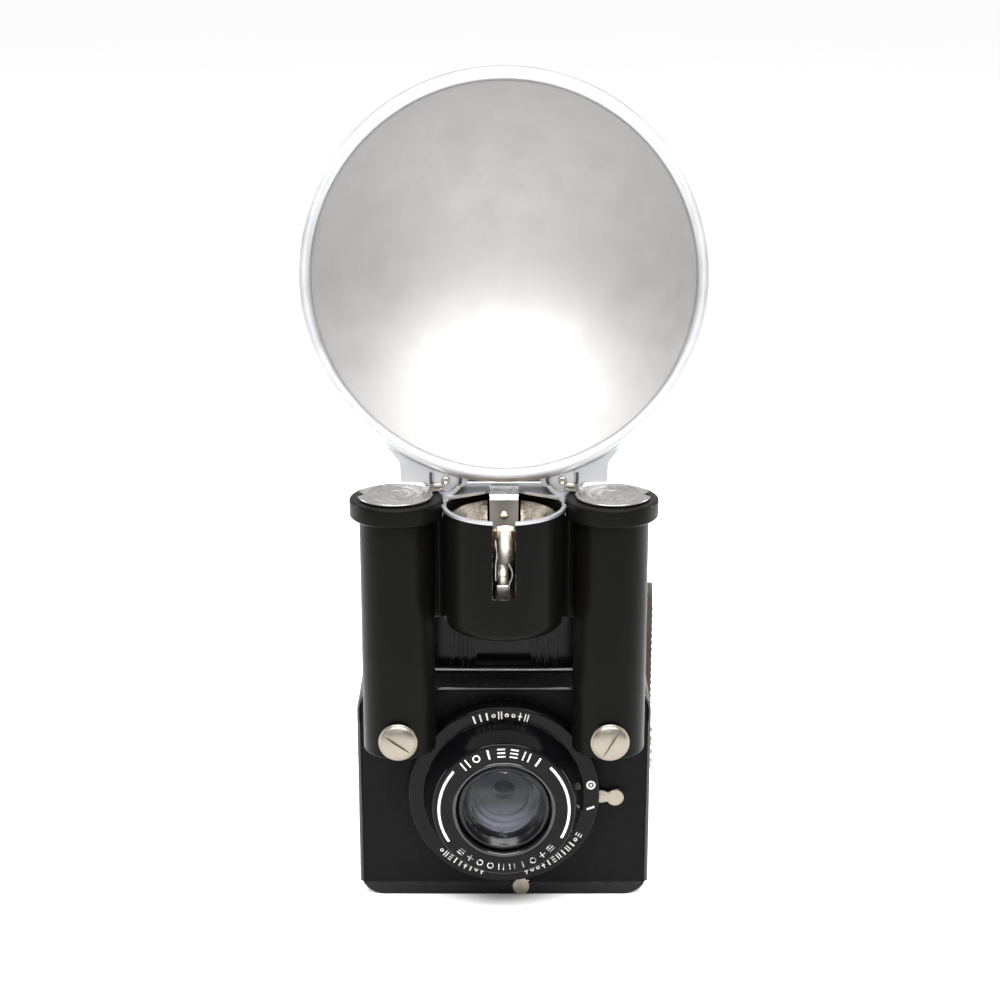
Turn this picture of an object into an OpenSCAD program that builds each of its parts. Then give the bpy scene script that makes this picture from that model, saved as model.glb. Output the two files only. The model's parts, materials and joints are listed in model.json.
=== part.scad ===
// Box camera for landscape roll film with a twin-tube flash bulb gun screwed to its front.
// +Z is up, the lens looks along -Y, and the origin is the centre of the camera's base.

/* [Camera] */
// Width of the camera body
camera_w = 118; // [116:1:122]
// Height of the camera body without its finder
camera_h = 92; // [90:1:95]
// Depth of the camera body, front panel to back door
camera_d = 94; // [92:1:98]
// Radius of the body's long edges
corner_r = 10; // [6:1:12]
// Height of the lens axis above the base
lens_z = 48.5; // [47:0.5:50]
// Radius of the round flange around the lens
flange_r = 38.4; // [37:0.2:39]
// Height of the flange in front of the panel
flange_h = 8.6; // [8:0.2:10]
// Height of the finder above the body
finder_h = 26; // [22:1:28]
// Width of the finder housing
finder_w = 60; // [56:1:64]

/* [Gun] */
// Distance from the middle of the gun to a battery tube's axis
tube_x = 41.1; // [40.8:0.1:42]
// Outer radius of a battery tube
tube_r = 14.25; // [14.2:0.05:14.4]
// Height of the battery tubes' lower ends
tube_z0 = 73; // [71:1:75]
// Height of the tubes' open tops
tube_z1 = 176; // [175:1:178]
// Outer radius of the socket shroud
shroud_r = 23.4; // [23:0.1:23.6]
// Height of the shroud's lower edge
shroud_z0 = 124.6; // [122:0.2:128]
// Height of the shroud's rim
shroud_z1 = 172; // [171:0.5:172]
// Width of the slot in the front of the shroud
slot_w = 8.4; // [7:0.2:10]
// Radius of the bore for the bulb's base
bulb_r = 7.65; // [7.6:0.05:7.8]

/* [Reflector] */
// Inner radius of the reflector's opening
bowl_r = 74; // [70:1:75]
// Depth of the bowl
bowl_depth = 39; // [34:1:42]
// Radius of the rolled bead around the opening
bead_r = 2.2; // [1.6:0.1:2.4]
// Height of the middle of the opening
bowl_z = 256.5; // [255:0.5:260]
// Angle by which the reflector leans back
lean = 8; // [6:0.5:10]

/* [Hidden] */
$fn = 64;

// shared gaps
gap = 0.3;
run = 0.05;

// camera: planes along Y, front to back
front_y = -camera_d / 2;
back_y = camera_d / 2;
wall = 1.6;
panel_t = 2;
door_t = 5.8;
door_y = back_y - door_t;
shell_y0 = front_y + panel_t;
shell_y1 = door_y - gap;
base_t = 5.2;
shell_z0 = base_t + gap;
floor_z = 0.6;
half_w = camera_w / 2;

// film chamber
spool_x = 45.5;
spool_y = 4;
spool_r = 11.5;
spool_z0 = 13;
spool_len = 66;
spool_bore = 2.55;
pin_r = spool_bore - run;
gate_w = 82;
gate_h = 57;
gate_y = 32;
cone_y = -38;
key_z = camera_h + 1;
knob_r = 9.5;
knob_h = 8;

// lens and shutter: planes along Y
cone_base_r = 32;
cone_tip_r = 28.3;
flange_y = front_y - flange_h;
face_y = front_y - 22.2;
cell_mouth_r = 19;
hub_r = 20;
cell_r = 16.55;
glass_r = 13.4;
glass_y = face_y + 3.2;
lever_ring_r = 24;
focus_ring_y = flange_y + 1.5;
mode_ring_y = focus_ring_y + 2.6;
lever_y = front_y - 1.9;
lever_t = 1;
mode_r = 45.2;
mode_angle = -5;
focus_r = 44.6;
focus_angle = -81;
release_x = -50;
release_y = -31;
release_r = 2.5;

// finder
finder_y0 = front_y + 16.75;
finder_y1 = 38;
window_w = 22;
window_h = 17;
window_z = camera_h + 3;

// strap
strap_w = 11;
strap_t = 2.2;
strap_z = 50;
strap_top = 119.5;
strap_x = half_w + 0.4;

// gun
tube_y = front_y - tube_r - gap;
tube_bore = 13.4;
collar_r = 17.9;
collar_h = 8;
screw_z = 81.2;
screw_r = 2;
head_r = 7.6;
slot_turn = [35, -60];
boss_r = 6.2;
boss_y = tube_y - tube_r - 0.7;
shroud_t = 1.1;
slot_z0 = 142.7;
plate_z = shroud_z1 + 0.05;
plate_t = 1.2;
web_t = 5;
web_x = 22.5;
web_z0 = 127;
cup_r = 20;
cup_z = 168.6;
neck_z = 153;
socket_z0 = 134;
socket_t = 0.8;
cell_d = 26.2;
cell_len = 50;
cell_z = 122.4;
cover_z = tube_z1 + 0.5;
cover_r = 14.3;
cover_t = 1;
pivot_x = 25.6;
pivot_dy = 9;
pivot_r = 1.05;

// reflector and its hinge
bowl_y = tube_y + 21.3;
bowl_t = 0.9;
hinge_y = tube_y + 24.6;
hinge_z = plate_z + plate_t + 2.4;
shelf_z = hinge_z + 3.1;
shelf_y = hinge_y + 2;
rod_r = 1;
lug_x = 22.5;
neck_w = 38.8;

// latch strip
latch_w = 11.4;
latch_t = 0.7;
latch_y = tube_y + 20.2;
latch_z = plate_z + plate_t + 0.3;

function arc(cx, cy, r, a0, a1, n = 8) =
    [for (i = [0 : n]) [cx + r * cos(a0 + (a1 - a0) * i / n), cy + r * sin(a0 + (a1 - a0) * i / n)]];

// rounded rectangle as one outline, standing on z0
module round_rect(w, z0, z1, r)
    polygon(concat(arc(w / 2 - r, z1 - r, r, 0, 90), arc(r - w / 2, z1 - r, r, 90, 180),
        arc(r - w / 2, z0 + r, r, 180, 270), arc(w / 2 - r, z0 + r, r, 270, 360)));

// a flat outline in X and Z, thickened from y0 back to y1
module slab(y0, y1) translate([0, y1, 0]) rotate([90, 0, 0]) linear_extrude(y1 - y0) children();

module disc_y(r, y0, y1) translate([0, y1, 0]) rotate([90, 0, 0]) cylinder(r = r, h = y1 - y0);

// a profile of [radius, y] turned about the lens axis
module turned(profile) translate([0, 0, lens_z]) rotate([90, 0, 0]) rotate_extrude($fn = 96)
    polygon([for (p = profile) [p[0], -p[1]]]);

module box(x0, x1, y0, y1, z0, z1) translate([x0, y0, z0]) cube([x1 - x0, y1 - y0, z1 - z0]);

// wire coil standing on z0: one closed tube along a helix
module coil(r, wire, z0, h, turns, n = 14, sides = 6) {
    steps = turns * n;
    ring = [for (i = [0 : steps], k = [0 : sides - 1]) let (a = 360 * i / n, b = 360 * k / sides,
        q = r + wire * cos(b), rise = (h - 2 * wire) * i / steps)
        [q * cos(a), q * sin(a), z0 + wire + rise + wire * sin(b)]];
    walls = [for (i = [0 : steps - 1], k = [0 : sides - 1])
        let (a = i * sides, b = a + sides, m = (k + 1) % sides) [a + k, a + m, b + m, b + k]];
    ends = [[for (k = [sides - 1 : -1 : 0]) k], [for (k = [0 : sides - 1]) steps * sides + k]];
    polyhedron(points = ring, faces = concat(walls, ends), convexity = 10);
}

// ---- camera body ----

module body_section() round_rect(camera_w, 0, camera_h, corner_r);

module inner_section() round_rect(camera_w - 2 * wall, -corner_r, camera_h - wall, corner_r - wall);

module above_seam() intersection() {
    children();
    translate([-half_w, shell_z0]) square([camera_w, camera_h]);
}

module body_shell() color("#1b1b1c") difference() {
    union() {
        slab(shell_y0, shell_y1) difference() {
            above_seam() body_section();
            inner_section();
        }
        // stub that holds the supply spool's upper end
        translate([-spool_x, spool_y, spool_z0 + spool_len - 6])
            cylinder(r = pin_r, h = camera_h - wall / 2 - spool_z0 - spool_len + 6);
        // hinge knuckles for the door
        for (z = [16, 64]) translate([-half_w - 1.2, door_y, z]) cylinder(r = 2.4, h = 12);
        for (z = [16, 64]) box(-half_w - 1.2, -half_w + wall, door_y - 3.2, door_y - 0.3, z, z + 12);
    }
    for (z = [15, 63]) translate([-half_w - 1.2, door_y, z]) cylinder(r = 1.25, h = 14);
    // clearance for the door's knuckle
    translate([-half_w - 1.2, door_y, 28]) cylinder(r = 2.9, h = 36);
    translate([spool_x, spool_y, camera_h - 5]) cylinder(r = pin_r + run, h = 10);
    translate([release_x, release_y, camera_h - 5]) cylinder(r = release_r + run, h = 10);
    // hole for the strap's stud
    translate([half_w - 3, 0, strap_z]) rotate([0, 90, 0]) cylinder(r = 2.02, h = 6);
}

module front_panel() color("#1d1d1e") difference() {
    slab(front_y, shell_y0 - 0.02) above_seam() body_section();
    translate([0, 0, lens_z]) disc_y(hub_r + 0.02, front_y - 1, shell_y0 + 1);
    for (s = [-1, 1]) translate([s * tube_x, 0, screw_z])
        disc_y(screw_r + run, front_y - 1, shell_y0 + 1);
    for (a = [45, 135, 225, 315]) translate([27 * cos(a), 0, lens_z + 27 * sin(a)])
        disc_y(1.05, front_y - 1, shell_y0 + 1);
}

module bottom_plate() color("#1b1b1c") {
    difference() {
        slab(front_y, shell_y1) intersection() {
            body_section();
            translate([-half_w, 0]) square([camera_w, base_t]);
        }
        box(wall - half_w + 9, half_w - wall - 9, front_y + 4, shell_y1 - 4, 1.8, base_t + 1);
    }
    for (s = [-1, 1]) translate([s * spool_x, spool_y, 1.5])
        cylinder(r = pin_r, h = spool_z0 + 6 - 1.5);
}

module back_door() color("#1c1c1d") difference() {
    union() {
        slab(door_y, back_y) round_rect(camera_w, floor_z, camera_h, corner_r - floor_z);
        // middle knuckle of the hinge
        translate([-half_w - 1.2, door_y, 28.4]) cylinder(r = 2.4, h = 35.2);
        box(-half_w - 1.2, -half_w + 4, door_y, door_y + 2.4, 28.4, 63.6);
    }
    slab(door_y - 1, back_y - 1.4) round_rect(camera_w - 2 * wall, floor_z + wall, camera_h - wall, 7);
    translate([22, 0, lens_z]) disc_y(5.5, door_y, back_y + 1);
    translate([-half_w - 1.2, door_y, 28]) cylinder(r = 1.25, h = 36);
    // clearance for the body's knuckles
    for (z = [15.6, 63.6]) translate([-half_w - 1.2, door_y, z]) cylinder(r = 2.9, h = 12.8);
}

module door_hinge_pin() color("#77777a") translate([-half_w - 1.2, door_y, 15])
    cylinder(r = 1.2, h = 62);

module door_latch() color("#b9b5aa") {
    box(half_w + 0.3, half_w + 1.5, door_y - 10, door_y + 2.6, 12, 36);
    translate([half_w + 1.4, door_y - 6, 24]) rotate([0, 90, 0]) cylinder(r = 4.4, h = 5.6);
}

module red_window() color("#8c1414") translate([22, 0, lens_z]) disc_y(5.45, back_y - 1.3, back_y - 0.5);

module pressure_plate() color("#2a2a2a") {
    box(-44, 14, gate_y + 2.4, gate_y + 3.4, lens_z - 33, lens_z + 33);
    box(-30, 0, gate_y + 3.4, back_y - 1.6, lens_z - 8, lens_z + 8);
}

// ---- film path ----

module gate_block(y, w, h, t) translate([-w / 2, y, lens_z - h / 2]) cube([w, t, h]);

module film_cone() color("#111111") {
    difference() {
        hull() {
            gate_block(cone_y, 30, 30, 1);
            gate_block(gate_y - 1, gate_w + 3, gate_h + 3, 1);
        }
        hull() {
            gate_block(cone_y + 1.4, 27, 27, 1);
            gate_block(gate_y, gate_w, gate_h, 1);
        }
        translate([0, 0, lens_z]) disc_y(9, cone_y - 1, cone_y + 5);
    }
}

module spool(x) translate([x, spool_y, spool_z0]) difference() {
    union() {
        cylinder(r = spool_r, h = 1.1);
        cylinder(r = 4.6, h = spool_len);
        translate([0, 0, spool_len - 1.1]) cylinder(r = spool_r, h = 1.1);
    }
    translate([0, 0, -1]) cylinder(r = spool_bore, h = spool_len + 2);
}

module supply_spool() color("#8b1d1a") spool(-spool_x);

module take_up_spool() color("#2c2c2e") spool(spool_x);

module winding_key() color("#202022") translate([spool_x, spool_y, 0]) {
    translate([0, 0, spool_z0 + spool_len - 12])
        cylinder(r = pin_r, h = key_z - spool_z0 - spool_len + 12.5);
    translate([0, 0, key_z]) cylinder(r = knob_r, h = knob_h);
}

// ---- lens ----

// flat bar that leaves the lens axis at an angle, from radius r0 to r1
module spoke(angle, r0, r1, w, y0, y1) translate([0, 0, lens_z]) rotate([0, -angle, 0])
    box(r0, r1, y0, y1, -w / 2, w / 2);

module sector(a0, a1) translate([0, lens_z]) polygon(concat(
    arc(0, 0, flange_r - 3, a0, a1), arc(0, 0, flange_r + 3, a1, a0)));

module lens_flange() color("#161617") difference() {
    turned([[flange_r, front_y], [flange_r, flange_y + 0.8], [flange_r - 0.8, flange_y],
        [cone_base_r + run, flange_y], [cone_base_r + run, flange_y + 1.2],
        [flange_r - 1.2, flange_y + 1.2], [flange_r - 1.2, front_y]]);
    // openings for the two levers
    slab(lever_y - 0.6, front_y + 1) sector(mode_angle - 14, mode_angle + 14);
    slab(lever_y - 0.6, front_y + 1) sector(focus_angle - 17, focus_angle + 17);
    // hollows that clear the battery tubes
    for (s = [-1, 1]) translate([s * tube_x, tube_y, tube_z0 - gap]) cylinder(r = tube_r + gap, h = 20);
}

module lens_cone() color("#141415")
    turned([[cone_base_r, flange_y + 1.2], [cone_base_r, flange_y], [cone_tip_r, face_y + 1],
        [cone_tip_r - 1, face_y], [cell_mouth_r + 1.2, face_y], [cell_mouth_r, face_y + 1.2],
        [cell_mouth_r, face_y + 3], [cell_mouth_r + 1.2, face_y + 3], [cone_tip_r - 2.2, face_y + 1.6],
        [cone_base_r - 1.6, flange_y + 1.2]]);

module lens_hub() color("#3a3a3c") difference() {
    turned([[cell_r + run, focus_ring_y + 1.4], [hub_r, focus_ring_y + 1.4], [hub_r, shell_y0],
        [30, shell_y0], [30, shell_y0 + 1], [cell_r + run, shell_y0 + 1]]);
    for (a = [45, 135, 225, 315]) translate([27 * cos(a), 0, lens_z + 27 * sin(a)])
        disc_y(1.05, shell_y0 - 1, shell_y0 + 2);
}

module lens_cell() color("#1a1a1b")
    turned([[glass_r - 1.2, front_y], [cell_r, front_y], [cell_r, focus_ring_y + 1.2],
        [18.6, focus_ring_y + 1.2], [18.6, face_y + 2.6], [17.4, face_y + 1.6], [15, face_y + 2.4],
        [glass_r + run, glass_y], [glass_r + run, glass_y + 4.2], [glass_r - 1.2, glass_y + 4.2]]);

// domed front element with a flat back
module front_lens() color("#54575c") {
    rise = 2.6;
    ball = (glass_r * glass_r + rise * rise) / (2 * rise);
    top = asin(glass_r / ball);
    translate([0, 0, lens_z]) rotate([90, 0, 0]) rotate_extrude($fn = 96)
        polygon(concat([[0, -glass_y - 4.1], [glass_r, -glass_y - 4.1]],
            [for (i = [12 : -1 : 0]) let (a = top * i / 12)
                [ball * sin(a), -glass_y - 1.6 + ball * (cos(a) - cos(top))]]));
}

module lever(angle, ring_in, ring_y, r_end, end_r) {
    translate([0, 0, lens_z]) difference() {
        disc_y(lever_ring_r, ring_y, ring_y + lever_t);
        disc_y(ring_in, ring_y - 1, ring_y + lever_t + 1);
    }
    spoke(angle, lever_ring_r - 1.5, flange_r - 4.2, 5, ring_y, ring_y + lever_t);
    spoke(angle, flange_r - 5.2, flange_r - 4.2, 5, ring_y, lever_y + lever_t);
    spoke(angle, flange_r - 5.2, r_end, 3.4, lever_y, lever_y + lever_t);
    translate([0, 0, lens_z]) rotate([0, -angle, 0]) translate([r_end, 0, 0])
        disc_y(end_r, lever_y, lever_y + lever_t + 0.4);
}

module mode_lever() color("#b8b1a4") lever(mode_angle, hub_r + run, mode_ring_y, mode_r, 3.6);

module focus_lever() color("#b8b1a4") lever(focus_angle, 18.6 + run, focus_ring_y, focus_r, 3.5);

// ---- shutter ----

blade_x = -17;
blade_z = lens_z + 6;

module shutter_plate() color("#808084") difference() {
    slab(shell_y0 + 1.2, shell_y0 + 2) translate([0, lens_z]) square([70, 62], center = true);
    translate([0, 0, lens_z]) disc_y(5, shell_y0, shell_y0 + 3);
    translate([blade_x, 0, blade_z]) disc_y(1.2, shell_y0, shell_y0 + 3);
    for (s = [-1, 1]) translate([s * tube_x, 0, screw_z]) disc_y(4, shell_y0, shell_y0 + 3);
}

module shutter_blade() color("#202020") {
    slab(shell_y0 + 2.4, shell_y0 + 3) union() {
        translate([0, lens_z]) circle(r = 8);
        translate([blade_x, blade_z - 4]) square([17, 8]);
        translate([blade_x, blade_z]) circle(r = 5);
    }
    translate([blade_x, 0, blade_z]) disc_y(1.15, shell_y0 + 1.3, shell_y0 + 2.4);
}

module shutter_release() color("#b8b1a4") translate([release_x, release_y, 0]) {
    translate([0, 0, camera_h - 12]) cylinder(r = release_r, h = 16.4);
    translate([0, 0, camera_h + 4.3]) cylinder(r = 4, h = 2.4);
    translate([0, 0, camera_h - wall - 2.8]) cylinder(r = 3.4, h = 1.1);
}

module release_spring() color("#c9c4b8") translate([release_x, release_y, 0])
    coil(3.05, 0.25, camera_h + 0.1, 4.1, 3);

module panel_screws() color("#6d6d70") for (a = [45, 135, 225, 315])
    translate([27 * cos(a), 0, lens_z + 27 * sin(a)]) {
        disc_y(1, front_y - 0.6, shell_y0 + 0.95);
        disc_y(1.9, front_y - 1.4, front_y - 0.05);
    }

// ---- finder ----

module finder_section(inset) polygon(concat(
    [[inset - finder_w / 2, camera_h], [finder_w / 2 - inset, camera_h]],
    arc(finder_w / 2 - 8, camera_h + finder_h - 8, 8 - inset, 0, 90),
    arc(8 - finder_w / 2, camera_h + finder_h - 8, 8 - inset, 90, 180)));

module finder_housing() color("#1a1a1b") {
    difference() {
        slab(finder_y0, finder_y1) finder_section(0);
        slab(finder_y0 + 2, finder_y1 - 2) finder_section(1.4);
        box(1.4 - finder_w / 2, finder_w / 2 - 1.4, finder_y0 + 2, finder_y1 - 2,
            camera_h - 1, camera_h + 1);
        box(-window_w / 2, window_w / 2, finder_y0 - 1, finder_y1 + 1, window_z, window_z + window_h);
    }
    for (s = [-1, 1], i = [0 : 2])
        translate([s * (window_w / 2 + 3 + 3.4 * i), finder_y0 - 0.45, window_z + window_h / 2])
            cube([1.5, 0.92, window_h + 1], center = true);
}

module window_pane(y0, y1) box(-window_w / 2 - 1.5, window_w / 2 + 1.5, y0, y1,
    window_z - 1.5, window_z + window_h + 1.5);

module finder_front_lens() color("#3c3f45") window_pane(finder_y0 + 2.05, finder_y0 + 4);

module finder_rear_lens() color("#3c3f45") window_pane(finder_y1 - 4, finder_y1 - 2.05);

// ---- strap ----

module strap() color("#231c18") difference() {
    union() {
        box(strap_x, strap_x + strap_t, -strap_w / 2, strap_w / 2, strap_z, strap_top - strap_w / 2);
        for (z = [strap_z, strap_top - strap_w / 2]) translate([strap_x, 0, z])
            rotate([0, 90, 0]) cylinder(r = strap_w / 2, h = strap_t);
    }
    translate([strap_x - 1, 0, strap_z]) rotate([0, 90, 0]) cylinder(r = 2.06, h = 5);
}

module strap_stud() color("#9b968a") translate([0, 0, strap_z]) rotate([0, 90, 0]) {
    translate([0, 0, half_w - wall]) cylinder(r = 2, h = wall + 0.5 + strap_t + 0.4);
    translate([0, 0, strap_x + strap_t + 0.2]) cylinder(r = 4, h = 1.3);
    translate([0, 0, half_w - wall - 1]) cylinder(r = 4, h = 0.95);
}

// ---- gun: tubes and shroud ----

module tube(s) difference() {
    union() {
        translate([s * tube_x, tube_y, tube_z0]) cylinder(r = tube_r, h = tube_z1 - tube_z0);
        translate([s * tube_x, tube_y, tube_z1 - collar_h])
            cylinder(r1 = tube_r + 2, r2 = collar_r, h = 1.6);
        translate([s * tube_x, tube_y, tube_z1 - collar_h + 1.6])
            cylinder(r = collar_r, h = collar_h - 1.6);
        translate([s * tube_x, 0, screw_z]) disc_y(boss_r, boss_y, tube_y);
    }
    translate([s * tube_x, tube_y, tube_z0 + 1.8]) cylinder(r = tube_bore, h = tube_z1);
    translate([s * tube_x, 0, screw_z]) disc_y(screw_r + run, boss_y - 1, front_y + 1);
    // flat that meets the top plate and the shroud
    translate([0, tube_y, tube_z1 - collar_h - 1]) cylinder(r = shroud_r + 0.1, h = collar_h + 2);
    // bore for the cover's rivet
    translate([s * pivot_x, tube_y + pivot_dy, tube_z1 - 6]) cylinder(r = pivot_r, h = 8);
}

module tube_left() color("#18181a") tube(-1);

module tube_right() color("#18181a") tube(1);

// black web that ties a tube to the shroud
module web(s) difference() {
    box(min(s * web_x, s * (tube_x - 8)), max(s * web_x, s * (tube_x - 8)),
        tube_y - web_t / 2, tube_y + web_t / 2, web_z0, tube_z1 - collar_h - 0.1);
    translate([s * tube_x, tube_y, tube_z0 - 1]) cylinder(r = tube_r + 0.03, h = 120);
    translate([0, tube_y, tube_z0 - 1]) cylinder(r = shroud_r + 0.03, h = 120);
}

module web_left() color("#101011") web(-1);

module web_right() color("#101011") web(1);

module shroud() color("#1a1a1b") difference() {
    translate([0, tube_y, 0]) rotate_extrude($fn = 96) polygon(concat(
        [[0, shroud_z0]], arc(shroud_r - 5, shroud_z0 + 5, 5, 270, 360, 6),
        [[shroud_r, shroud_z1], [shroud_r - shroud_t, shroud_z1], [shroud_r - shroud_t, shroud_z0 + 6],
        [shroud_r - 6, shroud_z0 + 1.4], [0, shroud_z0 + 1.4]]));
    box(-slot_w / 2, slot_w / 2, tube_y - shroud_r - 1, tube_y - shroud_r / 2, slot_z0, shroud_z1 + 1);
}

// opening of the top plate: round in front, three straight edges behind
module mouth() polygon(concat(arc(0, 0, shroud_r - shroud_t - 0.1, 180, 360, 24),
    [[21.8, 8.6], [6.2, 17.2], [-6.2, 17.2], [-21.8, 8.6]]));

module top_plate() color("#c3c1cd") translate([0, tube_y, plate_z]) difference() {
    linear_extrude(plate_t) difference() {
        union() {
            circle(r = shroud_r + 0.4);
            translate([-30, 2]) square([60, 26]);
        }
        mouth();
        translate([-slot_w / 2, -shroud_r - 2]) square([slot_w, shroud_r]);
        for (s = [-1, 1]) translate([s * tube_x, 0]) circle(r = collar_r + 0.1);
        for (s = [-1, 1]) translate([s * pivot_x, pivot_dy]) circle(r = pivot_r + 0.1);
    }
}

// ---- reflector ----

module hinge_lugs() color("#dcdce0") for (s = [-1, 1], t = [-1, 1]) difference() {
    union() {
        translate([s * lug_x + t * 4.1 - 0.6, hinge_y, hinge_z]) rotate([0, 90, 0])
            cylinder(r = 2.1, h = 1.2);
        box(s * lug_x + t * 4.1 - 0.6, s * lug_x + t * 4.1 + 0.6, hinge_y - 2.1, hinge_y + 2.1,
            plate_z + plate_t + 0.02, hinge_z);
    }
    translate([s * lug_x - 8, hinge_y, hinge_z]) rotate([0, 90, 0]) cylinder(r = rod_r + 0.01, h = 16);
}

module hinge_rod() color("#a8a8a8") translate([-lug_x - 5.6, hinge_y, hinge_z])
    rotate([0, 90, 0]) cylinder(r = rod_r, h = 2 * lug_x + 11.2);

// depth of the bowl's inside at radius r
function bowl_at(r) = bowl_depth * (1 - pow(r / bowl_r, 2.2));

// the opening's plane: local +Z looks along the reflector's axis, local -Y is down
module in_bowl_frame() translate([0, bowl_y, bowl_z]) rotate([90 - lean, 0, 0]) children();

module bowl() {
    steps = 22;
    inside = [for (i = [0 : steps]) let (r = bowl_r * i / steps) [r, -bowl_at(r)]];
    outside = [for (i = [steps : -1 : 0]) let (r = (bowl_r + bowl_t) * i / steps)
        [r, -bowl_at(bowl_r * i / steps) - (i == steps ? 0 : bowl_t)]];
    rotate_extrude($fn = 128) polygon(concat(inside, outside));
    rotate_extrude($fn = 128) translate([bowl_r + bead_r - 0.1, 0]) circle(r = bead_r, $fn = 20);
}

// sheet beside and below the bowl, in the plane of its opening, down to the shelf
skirt_drop = (bowl_z - shelf_z - 0.9) / cos(lean);

module skirt() translate([0, 0, -bead_r - 0.6]) linear_extrude(bowl_t + 0.3) difference() {
    polygon([[-54, -54], [-48.5, -61.5], [-44.2, -66.2], [-neck_w - 1.4, -70.8], [-neck_w - 1, -skirt_drop],
        [neck_w + 1, -skirt_drop], [neck_w + 1.4, -70.8], [44.2, -66.2], [48.5, -61.5], [54, -54]]);
    circle(r = bowl_r + 0.8, $fn = 128);
}

// level sheet from the skirt's lower edge back over the hinge
module shelf() box(-neck_w, neck_w, bowl_y - 9.2, shelf_y, shelf_z, shelf_z + 0.9);

module knuckle(s) difference() {
    union() {
        translate([s * lug_x - 3.2, hinge_y, hinge_z]) rotate([0, 90, 0]) cylinder(r = 2, h = 6.4);
        box(s * lug_x - 3.2, s * lug_x + 3.2, hinge_y - 2, hinge_y + 2, hinge_z, shelf_z + 0.4);
    }
    translate([s * lug_x - 8, hinge_y, hinge_z]) rotate([0, 90, 0]) cylinder(r = rod_r + run, h = 16);
}

module reflector() color("#c9cbce") {
    in_bowl_frame() bowl();
    in_bowl_frame() skirt();
    shelf();
    for (s = [-1, 1]) knuckle(s);
}

// ---- battery covers ----

module cover(s) difference() {
    union() {
        translate([s * (tube_x + 0.4), tube_y, cover_z]) cylinder(r = cover_r, h = cover_t);
        translate([s * pivot_x, tube_y + pivot_dy, cover_z]) cylinder(r = 3, h = cover_t);
        translate([s * pivot_x, tube_y + pivot_dy, cover_z])
            rotate([0, 0, atan2(-pivot_dy, s * (tube_x + 0.4 - pivot_x))])
            translate([0, -3, 0]) cube([8, 6, cover_t]);
        translate([s * (tube_x + 0.4), tube_y, cover_z + cover_t]) difference() {
            cylinder(r = cover_r - 3.2, h = 0.5);
            translate([0, 0, -1]) cylinder(r = cover_r - 4.6, h = 3);
        }
    }
    translate([s * pivot_x, tube_y + pivot_dy, cover_z - 1]) cylinder(r = pivot_r + run, h = 4);
    // finger notch at the outer end
    translate([s * (tube_x + 0.4 + cover_r), tube_y, cover_z - 1]) cylinder(r = 2.6, h = 4);
}

module cover_left() color("#b9b2a5") cover(-1);

module cover_right() color("#b9b2a5") cover(1);

module cover_rivet(s) translate([s * pivot_x, tube_y + pivot_dy, 0]) {
    translate([0, 0, tube_z1 - 6]) cylinder(r = pivot_r, h = 8);
    translate([0, 0, cover_z + cover_t + 0.1]) cylinder(r = 2.4, h = 0.9);
}

module cover_rivet_left() color("#a49d90") cover_rivet(-1);

module cover_rivet_right() color("#a49d90") cover_rivet(1);

module cover_contact(s) translate([s * (tube_x + 0.4), tube_y, cover_z - 0.32]) difference() {
    cylinder(r = 7, h = 0.3);
    translate([0, 0, -1]) cylinder(r = 1.4, h = 3);
}

module cover_contact_left() color("#b08d4a") cover_contact(-1);

module cover_contact_right() color("#b08d4a") cover_contact(1);

// ---- cells ----

module cell(s) translate([s * tube_x, tube_y, cell_z]) {
    cylinder(r = cell_d / 2, h = cell_len);
    translate([0, 0, cell_len]) cylinder(r = 3.4, h = 1.6);
}

module cell_left() color("#3d5a45") cell(-1);

module cell_right() color("#3d5a45") cell(1);

module cell_spring(s) translate([s * tube_x, tube_y, 0]) coil(9, 0.6, 88.3, cell_z - 88.4, 6);

module cell_spring_left() color("#c0bcb2") cell_spring(-1);

module cell_spring_right() color("#c0bcb2") cell_spring(1);

module cell_insulator(s) translate([s * tube_x, tube_y, 85.4]) difference() {
    cylinder(r = tube_bore - 0.2, h = 6);
    translate([0, 0, 2.8]) cylinder(r = tube_bore - 1.6, h = 6);
}

module cell_insulator_left() color("#5a3a22") cell_insulator(-1);

module cell_insulator_right() color("#5a3a22") cell_insulator(1);

// ---- thumb screws ----

module thumb_screw(s) difference() {
    translate([s * tube_x, 0, screw_z]) rotate([90, 0, 0]) rotate_extrude($fn = 96) polygon(concat(
        [[0, -front_y - 6], [screw_r, -front_y - 6], [screw_r, -boss_y + 0.05], [head_r, -boss_y + 0.05]],
        [for (i = [0 : 8]) [head_r * cos(11.25 * i), -boss_y + 1.1 + 2.1 * sin(11.25 * i)]]));
    translate([s * tube_x, boss_y - 3.4, screw_z]) rotate([0, slot_turn[s > 0 ? 1 : 0], 0])
        cube([20, 2, 1.3], center = true);
}

module thumb_screw_left() color("#b8b0a2") thumb_screw(-1);

module thumb_screw_right() color("#b8b0a2") thumb_screw(1);

// ---- bulb socket ----

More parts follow.
